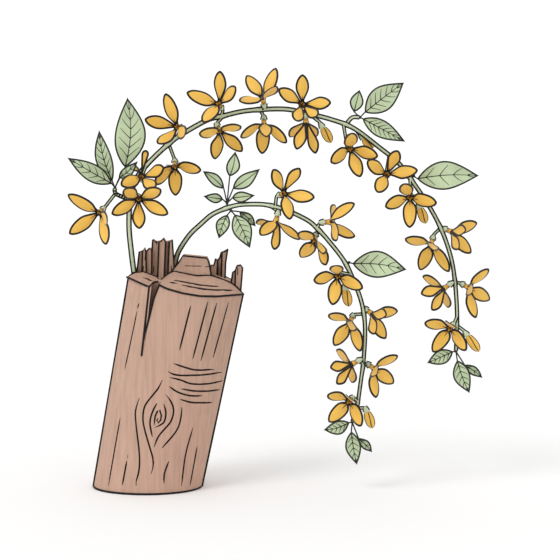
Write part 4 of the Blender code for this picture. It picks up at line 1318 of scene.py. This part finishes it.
def add_stamens(shape, throat, axis, side):
    """Two stamens in the throat, each a filament with its anther."""
    for shift in ANTHER_SHIFTS:
        foot = throat - axis * FILAMENT_START * MM + side * shift * 0.5
        head = throat - axis * FILAMENT_END * MM + side * shift
        add_tube(shape, [foot, head], [FILAMENT_RADIUS * MM] * 2, LINE_SIDES, POLLEN)
        anther = [head + axis * rise * MM for rise, _ in ANTHER_ROWS]
        add_tube(shape, anther, [radius * MM for _, radius in ANTHER_ROWS], EDGE_SIDES, POLLEN)


def measure_margin(surface):
    """Keep on each vertex of an open surface how many millimetres it lies from the open edge."""
    layer = surface.verts.layers.float.new("from_edge")
    rims = [edge for edge in surface.edges if edge.is_boundary]
    starts = np.array([edge.verts[0].co for edge in rims])
    runs = np.array([edge.verts[1].co for edge in rims]) - starts
    lengths = np.maximum((runs**2).sum(axis=1), 1e-16)
    for vert in surface.verts:
        reach = np.array(vert.co) - starts
        share = np.clip((reach * runs).sum(axis=1) / lengths, 0.0, 1.0)
        gap = reach - runs * share[:, None]
        vert[layer] = math.sqrt((gap**2).sum(axis=1).min()) / MM


def thickened(surface, thickness, into=None):
    """An open surface with its thickness, evenly on both sides."""
    return modified(surface, "SOLIDIFY", into, thickness=thickness, offset=0.0)


class FORSYTHIA_OT_blooms(bpy.types.Operator):
    """Build every open flower with its petals, throat lines and stamens"""

    bl_idname = "forsythia.blooms"
    bl_label = "Blooms"

    def execute(self, context):
        settings = context.scene.forsythia_bloom
        materials = [petal_material("edged_petal", settings.margin), ink_material(), pollen_material()]
        chance = random.Random(3)
        for name, bloom in BLOOMS.items():
            flower = flower_form(bloom, settings)
            surface = modified(flower_cage(flower, settings), "SUBSURF", levels=2, render_levels=2)
            measure_margin(surface)
            shape = thickened(surface, settings.thickness)
            for petal in flower.petals:
                add_throat_lines(shape, petal, chance)
            add_stamens(shape, flower.throat, flower.axis, flower.side)
            places = [flower.foot.lerp(flower.throat, share) for share in FUNNEL_EDGE_PLACES]
            radii = [settings.foot_radius] * 2 + [FUNNEL_EDGE_END * settings.throat_radius]
            edge_lines(shape, [flower.foot, *places], radii, FUNNEL_EDGE)
            piece = mesh_object(f"{name}_petals", shape)
            piece.data.shade_smooth()
            dress(piece, [name], materials)
        return {"FINISHED"}


class FORSYTHIA_OT_buds(bpy.types.Operator):
    """Build the closed buds, with the seams of their folded petals"""

    bl_idname = "forsythia.buds"
    bl_label = "Buds"

    def execute(self, context):
        settings = context.scene.forsythia_bloom
        for name, bud in BUDS.items():
            seat, tip = on_sheet(*bud.seat), on_sheet(*bud.tip)
            axis = unit(tip - seat)
            side = unit(axis.cross(BACKWARDS))
            rise = axis.cross(side)
            shape = bmesh.new()
            lay = shape.loops.layers.uv.new("petal")
            line = [blend(seat, tip, along) for along, _ in BUD_ROWS]
            add_tube(shape, line, [share * settings.bud_radius for _, share in BUD_ROWS], BUD_SIDES)
            for face in shape.faces:
                for loop in face.loops:
                    place = loop.vert.co - seat
                    along = place.dot(axis) / (tip - seat).length
                    loop[lay].uv = (math.atan2(place.dot(rise), place.dot(side)), max(THROAT_ON_MAP, along))
            for turn, twist, seam in BUD_SEAMS:
                places = []
                for index in range(SEAM_STEPS + 1):
                    along = SEAM_START + SEAM_LENGTH * index / SEAM_STEPS
                    radius = np.interp(along, *zip(*BUD_ROWS)) * settings.bud_radius
                    aside = outward(side, rise, turn + twist * along)
                    places.append(seat + axis * (tip - seat).length * along + aside * radius)
                add_tube(shape, places, ended_radii(places, seam * MM), LINE_SIDES, INK)
            face_outwards(shape)
            piece = mesh_object(f"{name}_petals", shape)
            piece.data.shade_smooth()
            dress(piece, [name], [petal_material(), ink_material()])
        return {"FINISHED"}


# Stems


def nearest_on(line, place):
    """The point of a stem's line that the front view shows nearest to a place on the sheet."""
    target = on_sheet(*place)
    return min(line, key=lambda point: (point.x - target.x) ** 2 + (point.z - target.z) ** 2)


def edge_lines(shape, line, radii, width):
    """Two dark ridges that stand out beside a stem, on its left and its right."""
    asides = []
    for index in range(len(line)):
        across = heading_at(line, index).cross(BACKWARDS)
        if across.length < LEAST_ACROSS and asides:
            asides.append(asides[-1])
        else:
            asides.append(unit(across))
    for sign in (-1, 1):
        places = [
            place + aside * sign * (radius + EDGE_STANDS_OUT * width)
            for place, aside, radius in zip(line, asides, radii)
        ]
        add_tube(shape, places, [width] * len(places), LINE_SIDES, INK)


def add_calyx(shape, seat, axis, settings):
    """A green cup with four pointed lobes that hold the foot of the flower."""
    side, rise = around_axis(axis)
    ring = first_ring(shape, CALYX_SIDES)
    for index, (height, share, lobe) in enumerate(CALYX_ROWS):
        if index:
            ring = grown_row(shape, ring, closed=True)
        for turn, vert in enumerate(ring):
            angle = turn * math.tau / CALYX_SIDES
            reach = height + lobe * (0.5 + 0.5 * math.cos(CALYX_LOBES * angle)) * LOBE_LENGTH
            aside = outward(side, rise, angle)
            vert.co = seat + axis * reach * settings.calyx_length + aside * share * settings.calyx_radius
    shape.faces.new(ring)
    outline = CALYX_ROWS[:CALYX_OUTSIDE_ROWS]
    places = [seat + axis * height * settings.calyx_length for height, _, _ in outline]
    edge_lines(shape, places, [share * settings.calyx_radius for _, share, _ in outline], CALYX_EDGE)


class FORSYTHIA_OT_stems(bpy.types.Operator):
    """Build both young stems with their twigs, stalks, swollen nodes and calyces"""

    bl_idname = "forsythia.stems"
    bl_label = "Stems"

    def execute(self, context):
        settings = context.scene.forsythia_stem
        blooms = context.scene.forsythia_bloom
        for number, name in enumerate(STEM_LINES):
            shape = bmesh.new()
            line = smooth_line([on_sheet(*place) for place in STEM_LINES[name]], STEM_STEP)
            radii = self.swollen(line, name, settings.base_radius[number], settings.tip_radius[number])
            add_tube(shape, line, radii, STEM_SIDES)
            edge_lines(shape, line, radii, settings.edge_radius)
            for knots in TWIGS[name]:
                places = smooth_line([on_sheet(*knot) for knot in knots], TWIG_STEP)
                twig = [settings.twig_radius] * len(places)
                add_tube(shape, places, twig, TWIG_SIDES)
                edge_lines(shape, places, twig, settings.edge_radius * TWIG_EDGE)
                if knots == SCARRED_TWIG:
                    self.add_scars(shape, places, settings.twig_radius)
                line += places
            for root, seat, axis in self.seats(name, blooms):
                self.add_stalk(shape, nearest_on(line, root), seat, axis, settings)
                add_calyx(shape, seat, axis, settings)
            face_outwards(shape)
            piece = mesh_object(f"{name}_bark", shape)
            piece.data.shade_smooth()
            dress(piece, [name], [bark_material(), ink_material()])
        return {"FINISHED"}

    def add_scars(self, shape, places, radius):
        """Dark knobbly rings where old buds fell from a twig."""
        inwards = places[::-1]
        for place, ahead in zip(inwards[1:], inwards[:SCARS]):
            half = (ahead - place) * SCAR_HALF
            rows = [place + half * rise for rise, _ in SCAR_ROWS]
            add_tube(shape, rows, [radius * share for _, share in SCAR_ROWS], TWIG_SIDES, INK)

    def swollen(self, line, name, base, tip):
        """Radii that taper to the tip and swell at each node."""
        nodes = [nearest_on(line, place) for place in NODES[name]]
        radii = []
        for index, place in enumerate(line):
            taper = blend(base, tip, index / (len(line) - 1))
            nearest = min((place - node).length for node in nodes)
            radii.append(taper * (1 + NODE_SWELLING * math.exp(-((nearest / NODE_REACH) ** 2))))
        return radii

    def seats(self, name, blooms):
        """Where each flower and bud of a stem has its calyx: the stalk's root, the seat and the axis."""
        for bloom in BLOOMS.values():
            if bloom.stem == name:
                flower = flower_form(bloom, blooms)
                yield bloom.root, flower.foot - flower.axis * CALYX_GAP, flower.axis
        for bud in BUDS.values():
            if bud.stem == name:
                seat = on_sheet(*bud.seat)
                yield bud.root, seat, unit(on_sheet(*bud.tip) - seat)

    def add_stalk(self, shape, root, seat, axis, settings):
        """A stalk from its stem into its calyx, which comes to it along the axis where there is room."""
        elbow = seat - axis * settings.calyx_length * STALK_ELBOW
        knots = [root, seat - axis * settings.calyx_length * STALK_END]
        if (elbow - root).length > LEAST_ELBOW and unit(elbow - root).dot(axis) > LEAST_TURN:
            knots.insert(1, elbow)
        places = smooth_line(knots, STALK_STEP)
        radii = [settings.stalk_radius] * len(places)
        add_tube(shape, places, radii, EDGE_SIDES)
        edge_lines(shape, places, radii, settings.edge_radius * STALK_EDGE)


# Leaves


def leaf_place(leaf, foot, tip, along, step, fold):
    """A point on a leaf's blade: how far along it, and from -1 to 1 across it."""
    heading = tip - foot
    across = unit(heading.cross(BACKWARDS))
    front = unit(across.cross(heading))
    if front.y > 0:
        front = -front
    swell = math.sin(math.pi * along)
    half = BLADE_FOOT * (1 - along) + leaf.width * SQUARE / 2 * math.sin(math.pi * along**BLADE_FULLNESS)
    wave = WAVE_HEIGHT * heading.length * math.sin(along * WAVES) * step * abs(step) * swell
    rise = leaf.arch * heading.length * swell + fold * abs(step) * half + wave
    aside = step * half + leaf.bow * SQUARE * swell
    return foot + heading * along + across * aside + front * rise


class FORSYTHIA_OT_leaves(bpy.types.Operator):
    """Build every leaf with its margin, its midrib and its side veins"""

    bl_idname = "forsythia.leaves"
    bl_label = "Leaves"

    def execute(self, context):
        settings = context.scene.forsythia_leaf
        for name, (hub, leaves) in SPRAYS.items():
            shape = bmesh.new()
            shape.verts.layers.float.new("from_edge")
            middle = on_sheet(*hub)
            knob = bmesh.ops.create_icosphere(shape, subdivisions=2, radius=HUB_RADIUS)["verts"]
            bmesh.ops.translate(shape, vec=middle, verts=knob)
            for face in shape.faces:
                face.material_index = INK
            for leaf in leaves:
                self.add_leaf(shape, leaf, middle, settings)
            face_outwards(shape)
            piece = mesh_object(f"{name}_blades", shape)
            piece.data.shade_smooth()
            dress(piece, [name], [leaf_material(), vein_material()])
        return {"FINISHED"}

    def add_leaf(self, shape, leaf, hub, settings):
        """One leaf on its stalk: a thin folded blade, with its midrib and its side veins."""
        foot, tip = on_sheet(*leaf.foot), on_sheet(*leaf.tip)

        def lay(along, step=0.0):
            return leaf_place(leaf, foot, tip, along, step, settings.fold)

        sheet = bmesh.new()
        columns, rows = BLADE_GRID
        grid = bmesh.ops.create_grid(sheet, x_segments=columns, y_segments=rows, size=1.0)["verts"]
        for vert in grid:
            vert.co = lay((vert.co.x + 1) / 2, vert.co.y)
        bmesh.ops.remove_doubles(sheet, verts=sheet.verts, dist=WELD)
        measure_margin(sheet)
        thickened(sheet, settings.thickness, shape)
        stalk = smooth_line([hub, foot, blend(foot, tip, LEAF_STALK_SHARE)], LEAF_STALK_STEP)
        add_tube(shape, stalk, [LEAF_STALK_RADIUS] * len(stalk), EDGE_SIDES, INK)
        rib = [lay(index / RIB_STEPS) for index in range(RIB_STEPS + 1)]
        self.add_vein(shape, rib, settings.vein_radius, RIB_TAPER)
        for vein in range(leaf.veins):
            root = FIRST_VEIN + VEIN_SPAN * vein / max(1, leaf.veins - 1)
            for side in (-1, 1):
                shares = [index / VEIN_STEPS for index in range(VEIN_STEPS + 1)]
                places = [(root + VEIN_SLANT * share + VEIN_CURVE * share**2, share) for share in shares]
                line = [lay(along, side * VEIN_REACH * share) for along, share in places]
                self.add_vein(shape, line, settings.vein_radius * VEIN_SHARE, VEIN_TAPER)

    def add_vein(self, shape, line, radius, taper):
        """A midrib or a side vein, which thins out along its line."""
        last = len(line) - 1
        radii = [radius * (1 - taper * index / last) for index in range(last + 1)]
        add_tube(shape, line, radii, LINE_SIDES, INK)


# Stage


class FORSYTHIA_OT_stage(bpy.types.Operator):
    """Set the pale floor, the soft lights and the camera"""

    bl_idname = "forsythia.stage"
    bl_label = "Stage"

    def execute(self, context):
        settings = context.scene.forsythia_stage
        context.scene.view_settings.view_transform = "Standard"
        self.add_floor(settings)
        self.add_lights(context, settings)
        self.add_camera(context)
        return {"FINISHED"}

    def add_floor(self, settings):
        """A floor that curves up into a backdrop."""
        shape = bmesh.new()
        profile = [(FLOOR_FRONT, 0.0), (FLOOR_BACK, 0.0)]
        for step in range(1, FLOOR_STEPS + 1):
            turn = step * math.pi / (2 * FLOOR_STEPS)
            rise = FLOOR_CURVE - FLOOR_CURVE * math.cos(turn)
            profile.append((FLOOR_BACK + FLOOR_CURVE * math.sin(turn), rise))
        profile.append((FLOOR_BACK + FLOOR_CURVE, FLOOR_TOP))
        verts = [shape.verts.new((-FLOOR_HALF, back, up)) for back, up in profile]
        for pair in zip(verts, verts[1:]):
            shape.edges.new(pair)
        grown = bmesh.ops.extrude_edge_only(shape, edges=shape.edges)["geom"]
        moved = [item for item in grown if isinstance(item, bmesh.types.BMVert)]
        bmesh.ops.translate(shape, vec=RIGHTWARDS * 2 * FLOOR_HALF, verts=moved)
        face_outwards(shape)
        floor = mesh_object("floor", shape)
        floor.data.shade_smooth()
        paint = Paint("pale_floor", settings.floor, 0.9)
        floor.data.materials.append(paint.finished(paint.tones(paint.grain(6), (0.3, 0.99), (0.7, 1.0))))

    def add_lights(self, context, settings):
        """An even light all round, and a soft one from the left."""
        world = bpy.data.worlds.new("even_light")
        world.use_nodes = True
        background = world.node_tree.nodes["Background"]
        background.inputs["Color"].default_value = (1.0, 1.0, 1.0, 1.0)
        background.inputs["Strength"].default_value = settings.ambient
        context.scene.world = world
        sun = bpy.data.lights.new("key", "SUN")
        sun.energy = settings.key
        sun.angle = KEY_SOFTNESS
        linked("key", sun).rotation_euler = KEY_TURN

    def add_camera(self, context):
        """A camera whose picture is the whole sheet."""
        target = on_sheet(SHEET_SQUARES / 2, SHEET_SQUARES / 2)
        lens = bpy.data.cameras.new("camera")
        lens.sensor_width = SENSOR_WIDTH
        lens.lens = lens.sensor_width * (target - EYE).length / (SHEET_SQUARES * SQUARE)
        camera = linked("camera", lens)
        camera.location = EYE
        camera.rotation_euler = (target - EYE).to_track_quat("-Z", "Y").to_euler()
        context.scene.camera = camera


PIECE_OPERATORS = (
    FORSYTHIA_OT_stump,
    FORSYTHIA_OT_stems,
    FORSYTHIA_OT_blooms,
    FORSYTHIA_OT_buds,
    FORSYTHIA_OT_leaves,
    FORSYTHIA_OT_stage,
)


class FORSYTHIA_PT_panel(bpy.types.Panel):
    """Lists the pieces of the branch in the sidebar"""

    bl_idname = "FORSYTHIA_PT_panel"
    bl_label = "Forsythia Branch"
    bl_space_type = "VIEW_3D"
    bl_region_type = "UI"
    bl_category = "Forsythia"

    def draw(self, context):
        for operator in PIECE_OPERATORS:
            self.layout.operator(operator.bl_idname)


SETTINGS = {
    "forsythia_stump": StumpSettings,
    "forsythia_stem": StemSettings,
    "forsythia_bloom": BloomSettings,
    "forsythia_leaf": LeafSettings,
    "forsythia_stage": StageSettings,
}


def register():
    for name, group in SETTINGS.items():
        bpy.utils.register_class(group)
        setattr(bpy.types.Scene, name, PointerProperty(type=group))
    for operator in PIECE_OPERATORS:
        bpy.utils.register_class(operator)
    bpy.utils.register_class(FORSYTHIA_PT_panel)


def unregister():
    bpy.utils.unregister_class(FORSYTHIA_PT_panel)
    for operator in reversed(PIECE_OPERATORS):
        bpy.utils.unregister_class(operator)
    for name, group in SETTINGS.items():
        delattr(bpy.types.Scene, name)
        bpy.utils.unregister_class(group)


def main():
    register()
    bpy.ops.forsythia.stump()
    bpy.ops.forsythia.stems()
    bpy.ops.forsythia.blooms()
    bpy.ops.forsythia.buds()
    bpy.ops.forsythia.leaves()
    bpy.ops.forsythia.stage()


if __name__ == "__main__":
    main()
